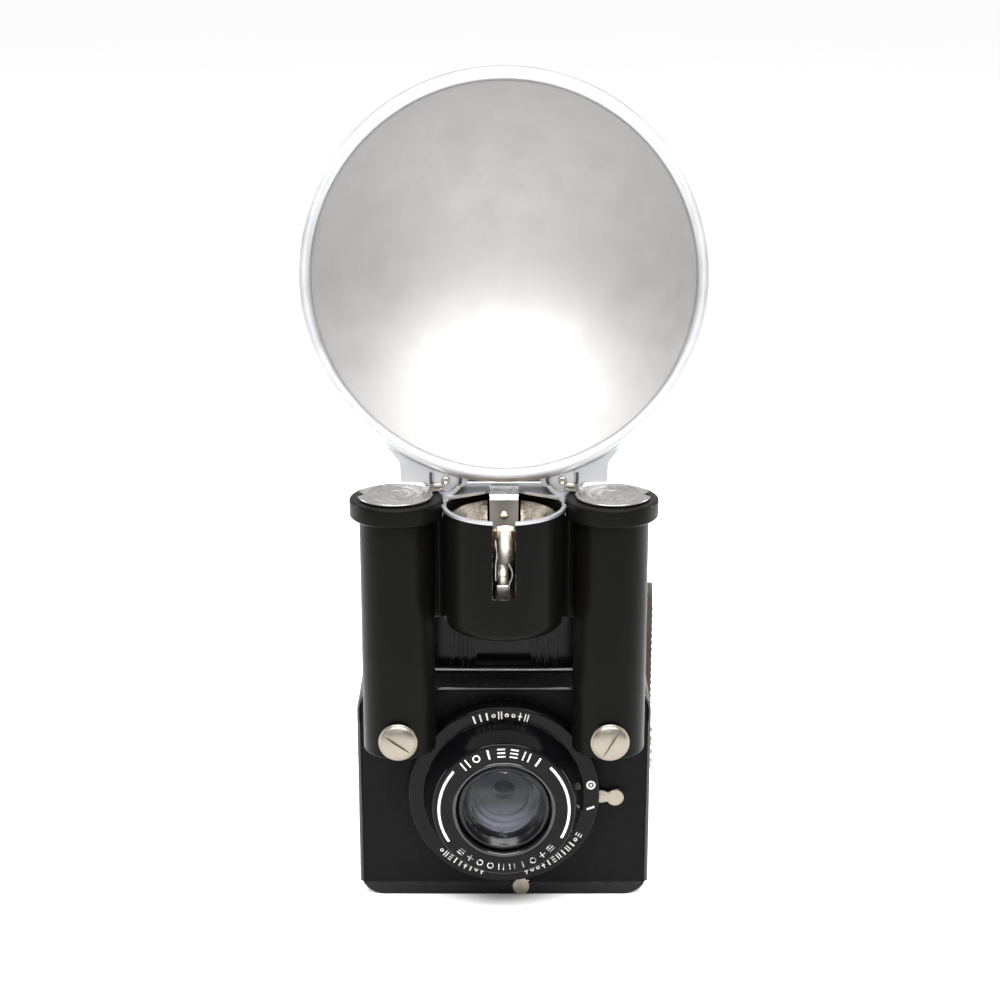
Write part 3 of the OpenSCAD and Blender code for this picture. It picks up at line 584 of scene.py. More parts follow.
FINISHES = (
    ("black_paint", leatherette, (0.0035, 0.0035, 0.0038), 0.34, 0.16),
    ("black_crackle", crackle, (0.0028, 0.0028, 0.0031), 0.42),
    ("black_gloss", enamel, (0.002, 0.002, 0.0023), 0.12, 0.09),
    ("cell_gloss", enamel, (0.002, 0.002, 0.0023), 0.14, 0.22),
    ("black_lacquer", enamel, (0.002, 0.002, 0.0023), 0.1, 0.5),
    ("tube_enamel", enamel, (0.0024, 0.0023, 0.0021), 0.32, 0.042),
    ("inner_black", enamel, (0.008, 0.008, 0.008), 0.6),
    ("black_knob", plastic, (0.012, 0.012, 0.013)),
    ("steel", sheet_metal, (0.42, 0.42, 0.43), 0.3),
    ("steel_strip", sheet_metal, (0.17, 0.17, 0.168), 0.28, (0.13, 0.13, 0.13)),
    # Pale copy of the catch strip's steel, only for its hooked end: a painted highlight.
    ("painted_highlight_steel", plated, (0.9, 0.9, 0.91), 0.2, (0.6, 0.59, 0.57), 0.000002),
    ("dark_steel", sheet_metal, (0.12, 0.12, 0.125), 0.42, (0.08, 0.08, 0.08)),
    ("spring_steel", plated, (0.6, 0.59, 0.56), 0.22),
    ("nickel", plated, (0.47, 0.44, 0.395), 0.3, (0.24, 0.21, 0.16)),
    ("screw_nickel", plated, (0.215, 0.192, 0.16), 0.3, (0.15, 0.125, 0.09)),
    ("cover_nickel", plated, (0.31, 0.302, 0.29), 0.27, (0.22, 0.205, 0.185), 0.000002),
    ("socket_nickel", plated, (0.5, 0.44, 0.36), 0.24, (0.4, 0.34, 0.27), 0.000001),
    ("plate_aluminium", sheet_metal, (0.38, 0.378, 0.4), 0.42, (0.3, 0.296, 0.31)),
    ("reflector_aluminium", spun_aluminium, (0.45, 0.455, 0.47), 0.4),
    # The bowl's inside: the reflector's aluminium, rougher, and darker as painted shade.
    ("bowl_satin_painted_shade", spun_aluminium, (0.33, 0.322, 0.317), 0.57),
    ("contact_brass", plated, (0.74, 0.62, 0.42), 0.2, (0.3, 0.2, 0.08)),
    ("cell_jacket", plastic, (0.06, 0.12, 0.08)),
    ("fibre", fibre_board, (0.16, 0.08, 0.045)),
    ("spool_red", enamel, (0.25, 0.03, 0.02), 0.3),
    ("spool_dark", enamel, (0.03, 0.03, 0.034), 0.3),
    ("thread", paint_mark, (0.09, 0.075, 0.055), 0.5),
    ("strap_leather", leather, (0.02, 0.015, 0.012)),
    ("lens_glass", glass, (0.7, 0.72, 0.78), 0.02),
    # Opaque near-black enamel instead of clear glass: painted shade for the dark inside of the finder.
    ("finder_glass", enamel, (0.002, 0.002, 0.0024), 0.06, 0.1),
    ("red_glass", glass, (0.55, 0.02, 0.02), 0.1, 0.7),
    ("white_mark", paint_mark, (0.56, 0.55, 0.53), 0.2),
    ("worn_mark", paint_mark, (0.5, 0.5, 0.48), 0.8),
    # Barrel paint with painted light, paler towards the bottom of the barrel.
    ("barrel_grey", painted_light_barrel, (0.004, 0.004, 0.005), (0.25, 0.25, 0.285),
     LENS_Z - 12, LENS_Z - 4.5),
    ("finger_nickel", plated, (0.6, 0.56, 0.5), 0.3, (0.36, 0.3, 0.23), 0.000003),
)
MAT = {name: make(name, *values) for name, make, *values in FINISHES}


def dress_nodes():
    """Gives every CAD node the material of its slot."""
    slots = {p["node"]: p["material_slot"] for p in frame["record"]["subparts"]}
    for name, node in frame["nodes"].items():
        node.data.materials.clear()
        node.data.materials.append(MAT[slots[name]])


def soften(node, width):
    """Rounds the edges of a CAD node as it is shown, without touching its mesh."""
    obj = frame["nodes"][node]
    weld = obj.modifiers.new("weld", "WELD")
    weld.merge_threshold = 1e-5
    round_edges(obj, width, 3, 30)


# ---- reflector ----


def bowl_depth_at(r):
    """Depth of the bowl below its opening at a radius."""
    return BOWL_DEPTH * (1 - (r / BOWL_R) ** BOWL_POWER)


BOWL_PLACE = at(0, BOWL_Y, BOWL_Z, Matrix.Rotation(math.radians(90) - LEAN, 4, "X"))
SHELF_Z = 178.75
SKIRT_DROP = (BOWL_Z - SHELF_Z - 0.9) / math.cos(LEAN)
TAB_X, TAB_Y = 22.5, -77.6  # middle of a hinge tab in the bowl's own plane


def bowl():
    """Spun bowl, and the sheet behind it whose edge rolls outwards into a bead."""
    steps = 48
    inner_r, bead_r = BOWL_R - 0.8, 2.8
    radii = [inner_r * i / steps for i in range(steps + 1)]
    inside = [(r, -bowl_depth_at(r)) for r in radii]
    satin = lathe("bowl_inside", inside + [(inner_r + 0.3, -0.5), (inner_r + 0.2, -1.2)], BOWL_PLACE,
                  segments=192, sharp=60)
    roll = arc(inner_r + bead_r - 0.1, -1.2, bead_r, 160, -160, 30)
    outside = [(r + SHEET_T * 0.6, -bowl_depth_at(r) - SHEET_T * 1.4) for r in radii[-4:0:-1]]
    back = lathe("bowl", [(inner_r - 0.2, -1.2)] + roll + outside + [(0, -BOWL_DEPTH - SHEET_T)], BOWL_PLACE,
                 segments=192, sharp=60)
    return satin, back


def neck():
    """Sheet below the bowl that narrows to the hinge, notched for the two hinge tabs."""
    foot = -SKIRT_DROP - 3.2
    half = [(56, -51.5, 0), (48.5, -61.5, 6), (44.2, -66.2, 5), (40.3, -71.2, 3), (39.8, -SKIRT_DROP - 1.4, 1),
            (TAB_X + 8.6, -SKIRT_DROP - 1.4, 1), (TAB_X + 7.6, foot, 2.5), (TAB_X - 7.6, foot, 2.5),
            (TAB_X - 8.6, -SKIRT_DROP, 1.5)]
    outline = fillet(half + [(-x, y, r) for x, y, r in reversed(half)], 5)
    inner = arc(0, 0, BOWL_R + 0.6, 222.5, 317.5, 60)
    slots = []
    for s in (-1, 1):
        x, r, gap, top = s * TAB_X, 6.7, 1.9, TAB_Y + 3
        slots.append([(x - r, top)] + arc(x, TAB_Y, r, 180, 360, 24) + [(x + r, top), (x + r - gap, top)]
                     + arc(x, TAB_Y, r - gap, 360, 180, 24) + [(x - r + gap, top)])
    place = BOWL_PLACE @ at(0, 0, -NECK_BACK - 0.6)
    return plate("neck", [outline + inner] + slots, 1.1, 0.3, place)


def shelf():
    """Level sheet from the neck's lower edge back over the hinge, also notched."""
    front, back = BOWL_Y - 8.2, HINGE_Y + 2
    half = [(39.6, back, 1.5), (39.6, front, 1), (TAB_X + 7, front, 0.4), (TAB_X + 7, front + 3, 1),
            (TAB_X - 7, front + 3, 1), (TAB_X - 7, front, 0.4), (13, front, 0.6), (13, HINGE_Y - 3, 1)]
    outline = fillet(half + [(-x, y, r) for x, y, r in reversed(half)], 3, True)
    vents = [arc(s * 10, front + 5.5, 0.9, 0, 345, 23) for s in (-1, 1)]
    return plate("shelf", [outline] + vents, 0.9, 0.25, at(0, 0, SHELF_Z))


def hinge_leaf(side):
    """Steel leaf behind the neck's cut that runs back and curls round the hinge rod; its very dark steel is partly
    painted shade, so that the cut around the tab shows dark.
    """
    path = fillet([(BOWL_Y - 7.0, 182.6, 0), (BOWL_Y - 7.9, 177.2, 0.8), (HINGE_Y - 2.4, 177.2, 0.8),
                   (HINGE_Y - 0.2, 177.6, 1), (HINGE_Y + 1.9, 176.4, 1.3), (HINGE_Y + 1.4, 174.2, 1)], 5)
    return strip("leaf", path, 14.6, 0.7, side * TAB_X)


def tab_face(side):
    """Domed tongue inside the neck's U-shaped cut, thicker at its rolled top."""
    outline = [(4.7, TAB_Y + 5.2), (-4.7, TAB_Y + 5.2)] + arc(0, TAB_Y, 4.8, 180, 360, 20)
    face = plate("tab_face", [fillet([(*p, 0.6) for p in outline[:2]], 2) + outline[2:]], 1.3, 0.6,
                 BOWL_PLACE @ at(side * TAB_X, 0, -NECK_BACK))
    top = sweep("tab_top", [(side * TAB_X - 4.8, 0, 0), (side * TAB_X + 4.8, 0, 0)], 1.15, 16,
                place=BOWL_PLACE @ at(0, TAB_Y + 5.0, -NECK_BACK + 0.4))
    return [face, top]


def dimple(name, x, y, z, r, turn, height=0.9):
    """Rivet head with a pressed centre."""
    profile = fillet([(0, height * 0.45, 0), (r * 0.35, height * 0.5, r * 0.2), (r * 0.55, height, r * 0.25),
                      (r * 0.85, height * 0.7, r * 0.3), (r, 0, 0)], 4)
    return lathe(name, profile, at(x, y, z, turn), segments=40)


def reflector():
    """The bowl with its neck and shelf, and the steel and nickel parts at the hinge."""
    satin, back = bowl()
    # Painted shade: the bowl's inside gets a darker copy of the reflector's aluminium.
    place_piece(satin, "reflector", "reflector_aluminium", "bowl_satin_painted_shade")
    sheets = [back, neck(), shelf()]
    for side in (-1, 1):
        sheets += tab_face(side)
    spun = join("reflector_sheet", sheets)
    place_piece(spun, "reflector", "reflector_aluminium", "reflector_aluminium", "reflector")
    leaves = join("hinge_leaves", [hinge_leaf(side) for side in (-1, 1)])
    # Very dark steel: a real hinge leaf, partly painted shade for the gaps around the tabs.
    place_piece(leaves, "reflector", None, "dark_steel")
    rivets = join("reflector_rivets",
                  [dimple("r", s * TAB_X, BOWL_Y - 9.9, 179.2, 1.8, ALONG_Y) for s in (-1, 1)])
    place_piece(rivets, "reflector", "reflector_aluminium", "nickel")


# ---- gun: tubes, shroud, covers, screws ----


def tube(side, name):
    """Battery tube with its collar and the boss that the thumb screw passes through."""
    x = side * TUBE_X
    bore = 13.4
    wall = fillet([(0, TUBE_Z0, 0), (TUBE_R, TUBE_Z0, 0.9), (TUBE_R, TUBE_Z1 - 4, 0), (bore, TUBE_Z1 - 4, 0),
                   (bore, TUBE_Z0 + 1.8, 1.2), (0, TUBE_Z0 + 1.8, 0)], 5)
    ring = fillet([(bore + 0.1, TUBE_Z1 - 8, 0), (TUBE_R + 1.6, TUBE_Z1 - 8, 0.4), (17.9, TUBE_Z1 - 6.6, 0.9),
                   (17.9, TUBE_Z1, 1.1), (bore + 0.1, TUBE_Z1, 0.5)], 5)
    collar = lathe("collar", ring, at(x, TUBE_Y, 0), segments=144, closed=True)
    flat = prism("f", arc(0, 0, SHROUD_R + 0.1, 0, 357, 119), TUBE_Z1 - 9, TUBE_Z1 + 2, at(0, TUBE_Y, 0))
    cut(collar, flat)
    boss = fillet([(0, 61, 0), (6.2, 61, 0), (6.2, 76.5, 0.6), (0, 76.5, 0)], 4)
    body = join(name, [lathe("wall", wall, at(x, TUBE_Y, 0), segments=192), collar,
                       lathe("boss", boss, at(x, 0, SCREW_Z, ALONG_Y), segments=64)])
    place_piece(body, "gun", "tube_enamel", "tube_enamel", name)


def plate_rivets():
    """Two small rivets that hold the plate beside the shroud."""
    rivets = [dimple("r", s * 24.3, TUBE_Y - 3.4, PLATE_Z1, 1.15, None) for s in (-1, 1)]
    place_piece(join("plate_rivets", rivets), "gun", "nickel", "cover_nickel")


def shroud():
    """Deep cup round the bulb socket, slotted in front."""
    wall = 1.1
    profile = fillet([(0, SHROUD_Z0, 0), (SHROUD_R, SHROUD_Z0, 5.5), (SHROUD_R, SHROUD_Z1, 0.35),
                      (SHROUD_R - wall, SHROUD_Z1, 0.35), (SHROUD_R - wall, SHROUD_Z0 + 1.4, 4.6),
                      (0, SHROUD_Z0 + 1.4, 0)], 8)
    cup = lathe("shroud_cup", profile, at(0, TUBE_Y, 0), segments=160)
    slot = prism("s", box_outline(-4.2, 4.2, 142.7, 180, 0.6), 70, 90, ALONG_Y)
    cut(cup, slot)
    round_edges(cup, 0.16)
    place_piece(cup, "gun", "tube_enamel", "tube_enamel", "shroud")


def web(side, name):
    """Sheet that closes the gap between a tube and the shroud, set back in the groove."""
    z0, z1 = low(name).z, high(name).z
    inner, outer = SHROUD_R - 0.4, TUBE_X - TUBE_R + 0.4
    front = fillet([(inner, 0.6, 0), (inner + 2, 1.5, 1.5), (outer, 0.6, 0)], 6)
    outline = [(side * x, TUBE_Y + y) for x, y in front + [(outer, 2.4), (inner, 2.4)]]
    if side < 0:
        outline.reverse()
    sheet = prism(name, outline, z0, z1)
    place_piece(sheet, "gun", "tube_enamel", "tube_enamel", name)


def cover(side, name, rivet):
    """Stamped battery cover that swivels on a rivet, with a finger notch at its outer end."""
    cx, pivot_x, pivot_y = side * (TUBE_X + 0.4), side * 25.6, TUBE_Y + 9
    z, top = COVER_Z, COVER_Z + 1
    profile = fillet([(0, top - 0.2, 0), (3.1, top - 0.2, 0.5), (3.9, top + 0.35, 0.6), (4.9, top - 0.1, 0.6),
                      (6.3, top - 0.1, 0.6), (7.3, top + 0.4, 0.7), (8.4, top - 0.1, 0.6),
                      (9.7, top, 0.6), (10.5, top + 0.5, 0.7), (11.5, top, 0.6),
                      (14.3, top - 0.35, 0.6), (14.3, z, 0.2), (0, z, 0)], 5)
    disc = lathe(name, profile, at(cx, TUBE_Y, 0), segments=128)
    toward = Vector((pivot_x - cx, pivot_y - TUBE_Y)).normalized()
    across = Vector((-toward.y, toward.x))
    start = Vector((pivot_x, pivot_y)) - toward * 8
    heading = math.degrees(math.atan2(toward.y, toward.x))
    ear = [tuple(start - across * 3.4)] + arc(pivot_x, pivot_y, 2.2, heading - 90, heading + 90, 14) \
        + [tuple(start + across * 3.4)]
    cut(disc, prism("ear", ear, z + 0.02, top - 0.12), mode="UNION")
    notch = prism("notch", arc(cx + side * 14.3, TUBE_Y, 2.6, 0, 350, 35), z - 1, top + 2)
    hole = prism("hole", arc(pivot_x, pivot_y, 1.1, 0, 345, 23), z - 1, top + 2)
    cut(disc, notch, hole)
    round_edges(disc, 0.14)
    place_piece(disc, side_body(side, "cover"), "nickel", "cover_nickel", name)
    knurls = []
    for i in range(48):
        a = 2 * math.pi * i / 48
        r = 1.6 + (0.15 if i % 2 else 0)
        knurls.append((r * math.cos(a), r * math.sin(a)))
    head = plate(rivet, [knurls], 1.0, 0.2, at(pivot_x, pivot_y, top + 0.1))
    dome = dimple("d", pivot_x, pivot_y, top + 0.85, 1.1, None, 0.3)
    place_piece(join(rivet + "_head", [head, dome]), "gun", "nickel", "nickel", rivet)


def side_body(side, kind):
    """Name of the body that a piece of this kind rides on."""
    return ("left_" if side < 0 else "right_") + kind


def thumb_screw(side, name):
    """Domed screw head with a rolled rim and a coin slot."""
    dome = [(7.0 * math.cos(math.radians(a)), 77.75 + 1.95 * math.sin(math.radians(a)))
            for a in range(90, 8, -9)]
    profile = dome + fillet([dome[-1], (7.35, 77.95, 0.3), (7.6, 77.6, 0.3), (7.6, 76.6, 0.3),
                             (2, 76.6, 0)], 4)[1:] + [(2, 41), (0, 41)]
    head = lathe(name, profile, at(side * TUBE_X, 0, SCREW_Z, ALONG_Y), sharp=45)
    turn = turned("Z", 60 if side > 0 else -35)
    slot = prism("s", box_outline(-20, 20, -0.65, 0.65), 78.55, 84,
                 at(side * TUBE_X, 0, SCREW_Z, ALONG_Y @ turn))
    cut(head, slot)
    round_edges(head, 0.14)
    place_piece(head, side_body(side, "screw"), "nickel", "screw_nickel", name)


def socket():
    """Bayonet shell that flares into a cup, with gaps for the latch and the contact finger."""
    bore, wall, z0, neck_z, cup_r, cup_z = 7.65, 0.8, 134, 153, 20, 168.6
    steps = 20
    outer = [(bore + wall + (cup_r - bore - wall) * (i / steps) ** 1.4, neck_z + (cup_z - neck_z) * i / steps)
             for i in range(steps + 1)]
    inner = [(bore + (cup_r - 0.7 - bore) * (i / steps) ** 1.4, neck_z + 0.6 + (cup_z - neck_z - 0.2) * i / steps)
             for i in range(steps, -1, -1)]
    profile = [(bore, z0), (bore + wall, z0)] + outer + [(cup_r + 0.2, cup_z + 0.25)] + inner
    shell = lathe("socket_cup", profile, at(0, TUBE_Y, 0), segments=128, closed=True, sharp=50)
    latch_gap = prism("g", box_outline(-6.5, 6.5, TUBE_Y + bore + 2, TUBE_Y + 30, 0.4), neck_z, cup_z + 3)
    finger_gap = prism("g", box_outline(-2.6, 2.6, TUBE_Y - 24, TUBE_Y - bore - 2, 0.4), neck_z + 3, cup_z + 3)
    cut(shell, latch_gap, finger_gap)
    round_edges(shell, 0.12)
    place_piece(shell, "gun", "socket_nickel", "socket_nickel", "socket_shell")

    y0 = TUBE_Y - bore - wall - 3.25
    upper = fillet([(y0 + 0.6, 152.2, 0), (y0 - 0.4, 154.5, 1.5), (y0 - 2.6, 160, 5), (y0 - 3.6, 167.6, 3),
                    (y0 - 2.6, 168.6, 0)], 8)
    finger = strip("finger", upper, 6.4, 0.5, 0.5, bow=0.7)
    lower = fillet([(y0 + 0.3, 134.6, 0), (y0 + 0.2, 141, 2), (y0 - 1.5, 144.5, 2), (y0 - 1.7, 148.5, 2),
                    (y0 - 0.2, 151, 2), (y0 + 0.4, 153.4, 0)], 6)
    finger_foot = strip("finger_foot", lower, 4.2, 0.55, -0.5, bow=0.5)
    side_rail = sweep("rail", fillet_path([(-3.3, y0 - 2.8, 168), (-3.2, y0 - 2.4, 162), (-2.7, y0 - 1.6, 158),
                                           (-3.2, y0 - 1.9, 153), (-3.2, y0 - 2.0, 147)]), 0.42, 8)
    lead = sweep("lead", fillet_path([(1.5, y0 - 0.4, 153.6), (3.1, y0 - 1.8, 150.6), (3.0, y0 - 2.6, 148),
                                      (2.0, y0 - 2.9, 145.5), (2.2, y0 - 3.2, 141), (2.4, y0 - 3.3, 137)]), 0.5, 8)
    base = block("base", (-3.7, y0 - 3, 134.05), (3.7, y0 + 1.8, 135.1), 0.25)
    lug = block("lug", (-3.2, y0 - 2.6, 135.1), (2.6, y0 - 1.2, 145.2), 0.5)
    place_piece(join("contact_strip", [finger, finger_foot, side_rail, lead, base, lug]), "gun", "contact_brass",
                "finger_nickel", "contact_finger")


def fillet_path(points):
    """A smooth curve through the points."""
    steps = 5
    spots = [Vector(p) for p in points]
    out = []
    for i in range(len(spots) - 1):
        a, b = spots[max(i - 1, 0)], spots[i]
        c, d = spots[i + 1], spots[min(i + 2, len(spots) - 1)]
        for k in range(steps):
            t = k / steps
            out.append(0.5 * ((2 * b) + (c - a) * t + (2 * a - 5 * b + 4 * c - d) * t * t
                              + (3 * b - a - 3 * c + d) * t ** 3))
    out.append(spots[-1])
    return out


def catch():
    """Spring strip hooked over the plate's rear edge, with its rivet."""
    over = fillet([(-39.4, 173.6, 0), (-39.6, 174.3, 0.4), (-43.6, 174.25, 0.5), (-44.4, 173.95, 0.3),
                   (-46.5, 172.0, 0.3), (-46.9, 170.2, 0)], 6)
    hook = strip("catch_hook", over, 11.4, 0.7)
    # Painted highlight: the hooked end of the same strip is given pale steel, so that its bend shows bright under
    # the bowl.
    place_piece(hook, "bulb_catch", "steel_strip", "painted_highlight_steel")
    down = strip("catch", [(-46.9, 170.2), (-48.6, 156.2)], 11.3, 0.68)
    place_piece(down, "bulb_catch", "steel_strip", "steel_strip", "bulb_latch")
    dome = [(1.75 * math.cos(math.radians(a)), 1.15 * math.sin(math.radians(a))) for a in range(90, -1, -10)]
    outwards = turned("X", 80)
    rivet = lathe("rivet", dome + [(1.75, -0.3), (0, -0.3)], at(0, -47.95, 164.4, outwards), segments=48)
    place_piece(rivet, "bulb_catch", "nickel", "nickel", "latch_rivet")


# ---- lens ----

LENS = at(0, 0, LENS_Z, ALONG_Y)  # local +Z looks along the lens, local X and Y lie in its face


def lever_slot(a0, a1):
    """Gap in the back of the flange through which a lever swings between two angles."""
    return prism("w", arc(0, 0, 34, a0, a1, 10) + arc(0, 0, 42, a1, a0, 10), 46, 49.5, LENS)


def tube_clearance(side):
    """Room that the flange leaves for a battery tube."""
    return prism("t", arc(side * TUBE_X, TUBE_Y, TUBE_R + 0.3, 0, 357, 119), TUBE_Z0 - 0.3, TUBE_Z0 + 18)


def lens():
    """Flange, cone, front cell with its barrel, and the domed front glass."""
    flange = lathe("flange", fillet([(38.4, 47, 0), (38.4, 55.6, 1.1), (32.05, 55.6, 0.3), (32.05, 54.4, 0.2),
                                     (37.2, 54.4, 0.8), (37.2, 47, 0)], 6), LENS, 192, closed=True)
    cut(flange, lever_slot(-19, 9), lever_slot(-92, -58), tube_clearance(-1), tube_clearance(1))
    place_piece(flange, "camera", "black_gloss", "black_gloss", "lens_flange")
    cone = lathe("cone", fillet([(32, 54.4, 0), (32, 55.6, 0.25), (28.2, 69.2, 1.6), (20.4, 69.2, 0.5),
                                 (19, 68.2, 0.8), (19, 66.2, 0.3), (20.2, 66.2, 0.3), (26, 67.2, 1),
                                 (30.4, 54.4, 0)], 7), LENS, 192, closed=True)
    place_piece(cone, "camera", "black_gloss", "black_gloss", "lens_cone")
    lip = lathe("lip", [(19.8 + r, h) for r, h in arc(0, 68.9, 0.75, 0, 345, 23)], LENS, 160, closed=True)
    place_piece(lip, "camera", "black_gloss", "black_lacquer")
    ridges = []
    for i in range(3):
        h = 66.3 - 0.55 * i
        ridges += [(15.6 - 0.3 * i, h, 0.1), (15.3 - 0.3 * i, h - 0.3, 0.1)]
    cell = lathe("cell", fillet([(13.1, 47, 0), (16.55, 47, 0), (16.55, 52.9, 0), (18.6, 52.9, 0.3),
                                 (18.6, 67.4, 1.1), (16.8, 67.9, 0.8), (15.9, 66.6, 0.4)] + ridges
                                + [(14.5, 64.4, 0.2), (14.5, 60.2, 0), (13.1, 60.2, 0.2)], 6),
                 LENS, 160, closed=True)
    place_piece(cell, "focus", "black_gloss", "cell_gloss", "lens_cell")
    barrel = lathe("barrel", fillet([(13, 60.1, 0), (13, 56, 0), (11.6, 55.6, 0.2), (11.6, 53.6, 0.2),
                                     (9.8, 53.2, 0.2), (9.8, 51, 0.2), (4.2, 50.6, 0.2), (4.2, 49.9, 0.1),
                                     (13.05, 49.9, 0)], 3), LENS, 96, closed=True)
    place_piece(barrel, "focus", "inner_black", "barrel_grey")
    rise, edge = 2.8, 14.35
    ball = (edge ** 2 + rise ** 2) / (2 * rise)
    top = math.asin(edge / ball)
    dome = [(ball * math.sin(top * i / 20), 64.4 + ball * (math.cos(top * i / 20) - math.cos(top)))
            for i in range(21)]
    back = [(ball * 1.5 * math.sin(0.2 * i / 10), 62.2 - ball * 1.5 * (1 - math.cos(0.2 * i / 10)))
            for i in range(9, -1, -1)]
    glass_piece = lathe("front_glass", dome + [(edge, 60.4), (13.2, 60.35)] + back, LENS, 128, sharp=30)
    place_piece(glass_piece, "focus", "lens_glass", "lens_glass", "front_lens")


def white_marks():
    """White arcs and rows of strokes, in no alphabet, painted on the lens's cone and flange."""
    paint, round_off = 0.16, 0.04
    marks = []

    def stroke(outlines, spot, edge=round_off):
        marks.append(plate("stroke", outlines, paint, edge, spot))

    def band(a0, a1, r, width, height):
        steps = max(3, int(abs(a1 - a0) / 2))
        outline = arc(0, 0, r - width / 2, a0, a1, steps) + arc(0, 0, r + width / 2, a1, a0, steps)
        stroke([outline], LENS @ at(0, 0, height), 0.05)

    def glyphs(a0, a1, count, r, tall, height, seed):
        """A row of short bars, pairs of bars, rings, dashes and crosses."""
        pick = random.Random(seed)
        step = (a1 - a0) / count
        for i in range(count):
            a = a0 + step * (i + 0.5)
            kind = pick.choice(("bar", "pair", "ring", "dash", "cross"))
            turn = turned("Z", a - 90)
            half_step = abs(math.radians(step)) * r * 0.62 / 2
            spot = LENS @ turn @ at(0, r, height)
            t = tall * 0.14
            if kind == "ring":
                q = min(half_step, tall / 2)
                stroke([arc(0, 0, q, 0, 345, 23), arc(0, 0, q - t, 0, 345, 23)], spot)
            elif kind == "bar":
                stroke([box_outline(-t / 1.4, t / 1.4, -tall / 2, tall / 2, 0.1)], spot)
            elif kind == "pair":
                for s in (-1, 1):
                    x = s * half_step * 0.7
                    stroke([box_outline(x - t / 2, x + t / 2, -tall / 2, tall / 2, 0.1)], spot)
            elif kind == "dash":
                for s in (-1, 0, 1):
                    y = s * tall * 0.4
                    stroke([box_outline(-half_step, half_step, y - t / 2, y + t / 2, 0.1)], spot)
            else:
                stroke([[(-t / 2, -tall / 2), (t / 2, -tall / 2), (t / 2, -t / 2), (half_step, -t / 2),
                         (half_step, t / 2), (t / 2, t / 2), (t / 2, tall / 2), (-t / 2, tall / 2),
                         (-t / 2, t / 2), (-half_step, t / 2), (-half_step, -t / 2), (-t / 2, -t / 2)]], spot)

    face, rim = 69.17, 55.57
    band(140, 212, 25.85, 1.05, face)
    band(-28, 45, 25.85, 1.05, face)
    glyphs(134, 51, 7, 24.6, 3.9, face, 4)
    glyphs(112, 73, 9, 34.9, 3.2, rim, 2)
    glyphs(222, 257, 9, 34.9, 2.7, rim, 7)
    glyphs(283, 332, 12, 34.9, 2.7, rim, 5)
    place_piece(join("lens_marks", marks), "camera", None, "white_mark")
    marks.clear()
    glyphs(222, 323, 10, 24.9, 2.6, face, 9)
    place_piece(join("worn_marks", marks), "camera", None, "worn_mark")
    marks.clear()
    on_rim = LENS @ at(0, 0, rim)
    stroke([arc(34.9, 4.6, 1.9, 0, 345, 23), arc(34.9, 4.6, 1.1, 0, 345, 23)], on_rim)
    stroke([arc(34.9, 4.6, 0.55, 0, 345, 23)], on_rim)
    stroke([[(33.3, -6.5), (36.4, -5.4), (36.4, -4.5), (33.3, -5.6)]], on_rim)
    place_piece(join("lever_marks", marks), "camera", None, "white_mark")


def levers():
    """Nickel ends of the two levers, over the CAD arms."""
    place = LENS @ turned("Z", -5)
    arm = fillet([(36.5, -2.7, 0), (40.2, -2.8, 1), (42.6, -1.9, 1.0)], 4)
    tip = arc(45.2, 0, 3.6, -140, 140, 30)
    outline = arm + tip + [(x, -y) for x, y in reversed(arm)]
    end = plate("mode_end", [outline], 1.3, 0.35, place @ at(0, 0, 48.0))
    place_piece(end, "mode", "nickel", "screw_nickel")
    place = LENS @ turned("Z", -81)
    pointer = [(36.6, -2.4), (40.5, -2.4)] + arc(44.6, 0, 3.5, -150, 115, 28) \
        + [(42.2, 4.3), (41.6, 2.4), (36.6, 2.4)]
    end = plate("focus_end", [pointer], 1.5, 0.4, place @ at(0, 0, 47.9))
    place_piece(end, "focus", "nickel", "screw_nickel")


def winding_key():
    """Milled winding key with a raised grip bar and a centre screw."""
    x, y = 45.5, 4
    base, top = low("winding_key").z, high("winding_key").z
    grip_h = 2.4
    teeth = []
    for i in range(120):
        a = 2 * math.pi * i / 120
        r = 9.45 if i % 3 else 8.95
        teeth.append((r * math.cos(a), r * math.sin(a)))
    key_z = CAMERA_TOP + 1.2
    wheel = plate("wheel", [teeth], top - grip_h - key_z, 0.35, at(x, y, key_z))
    grip = block("grip", (x - 7.6, y - 1.5, top - grip_h), (x + 7.6, y + 1.5, top), 0.7, 3)
    boss = lathe("boss", fillet([(0, top - 0.5, 0), (3.4, top - 0.5, 0.7), (3.8, top - grip_h, 0)], 4),
                 at(x, y, 0), 48)
    shaft = lathe("shaft", [(0, base), (2.4, base), (2.4, key_z + 0.2), (0, key_z + 0.2)], at(x, y, 0), 32)
    place_piece(join("winding_knob", [wheel, grip, boss]), "winder", "black_knob", "black_knob",
                "winding_key")
    place_piece(shaft, "winder", "black_knob", "steel")


def stitches():
    """Two rows of thread along the strap, sunk a little into the leather."""
    face = high("strap").x
    z0, z1 = low("strap").z + 7, high("strap").z - 5
    pitch = 3.0
    threads = []
    for side in (-1, 1):
        y = side * 4.1
        for i in range(int((z1 - z0) / pitch)):
            z = z0 + i * pitch
            threads.append(sweep("t", [(face - 0.15, y, z), (face + 0.12, y, z + 0.4),
                                       (face + 0.12, y, z + 1.6), (face - 0.15, y, z + 2)], 0.26, 6))
    place_piece(join("strap_stitches", threads), "carrying_strap", None, "thread")


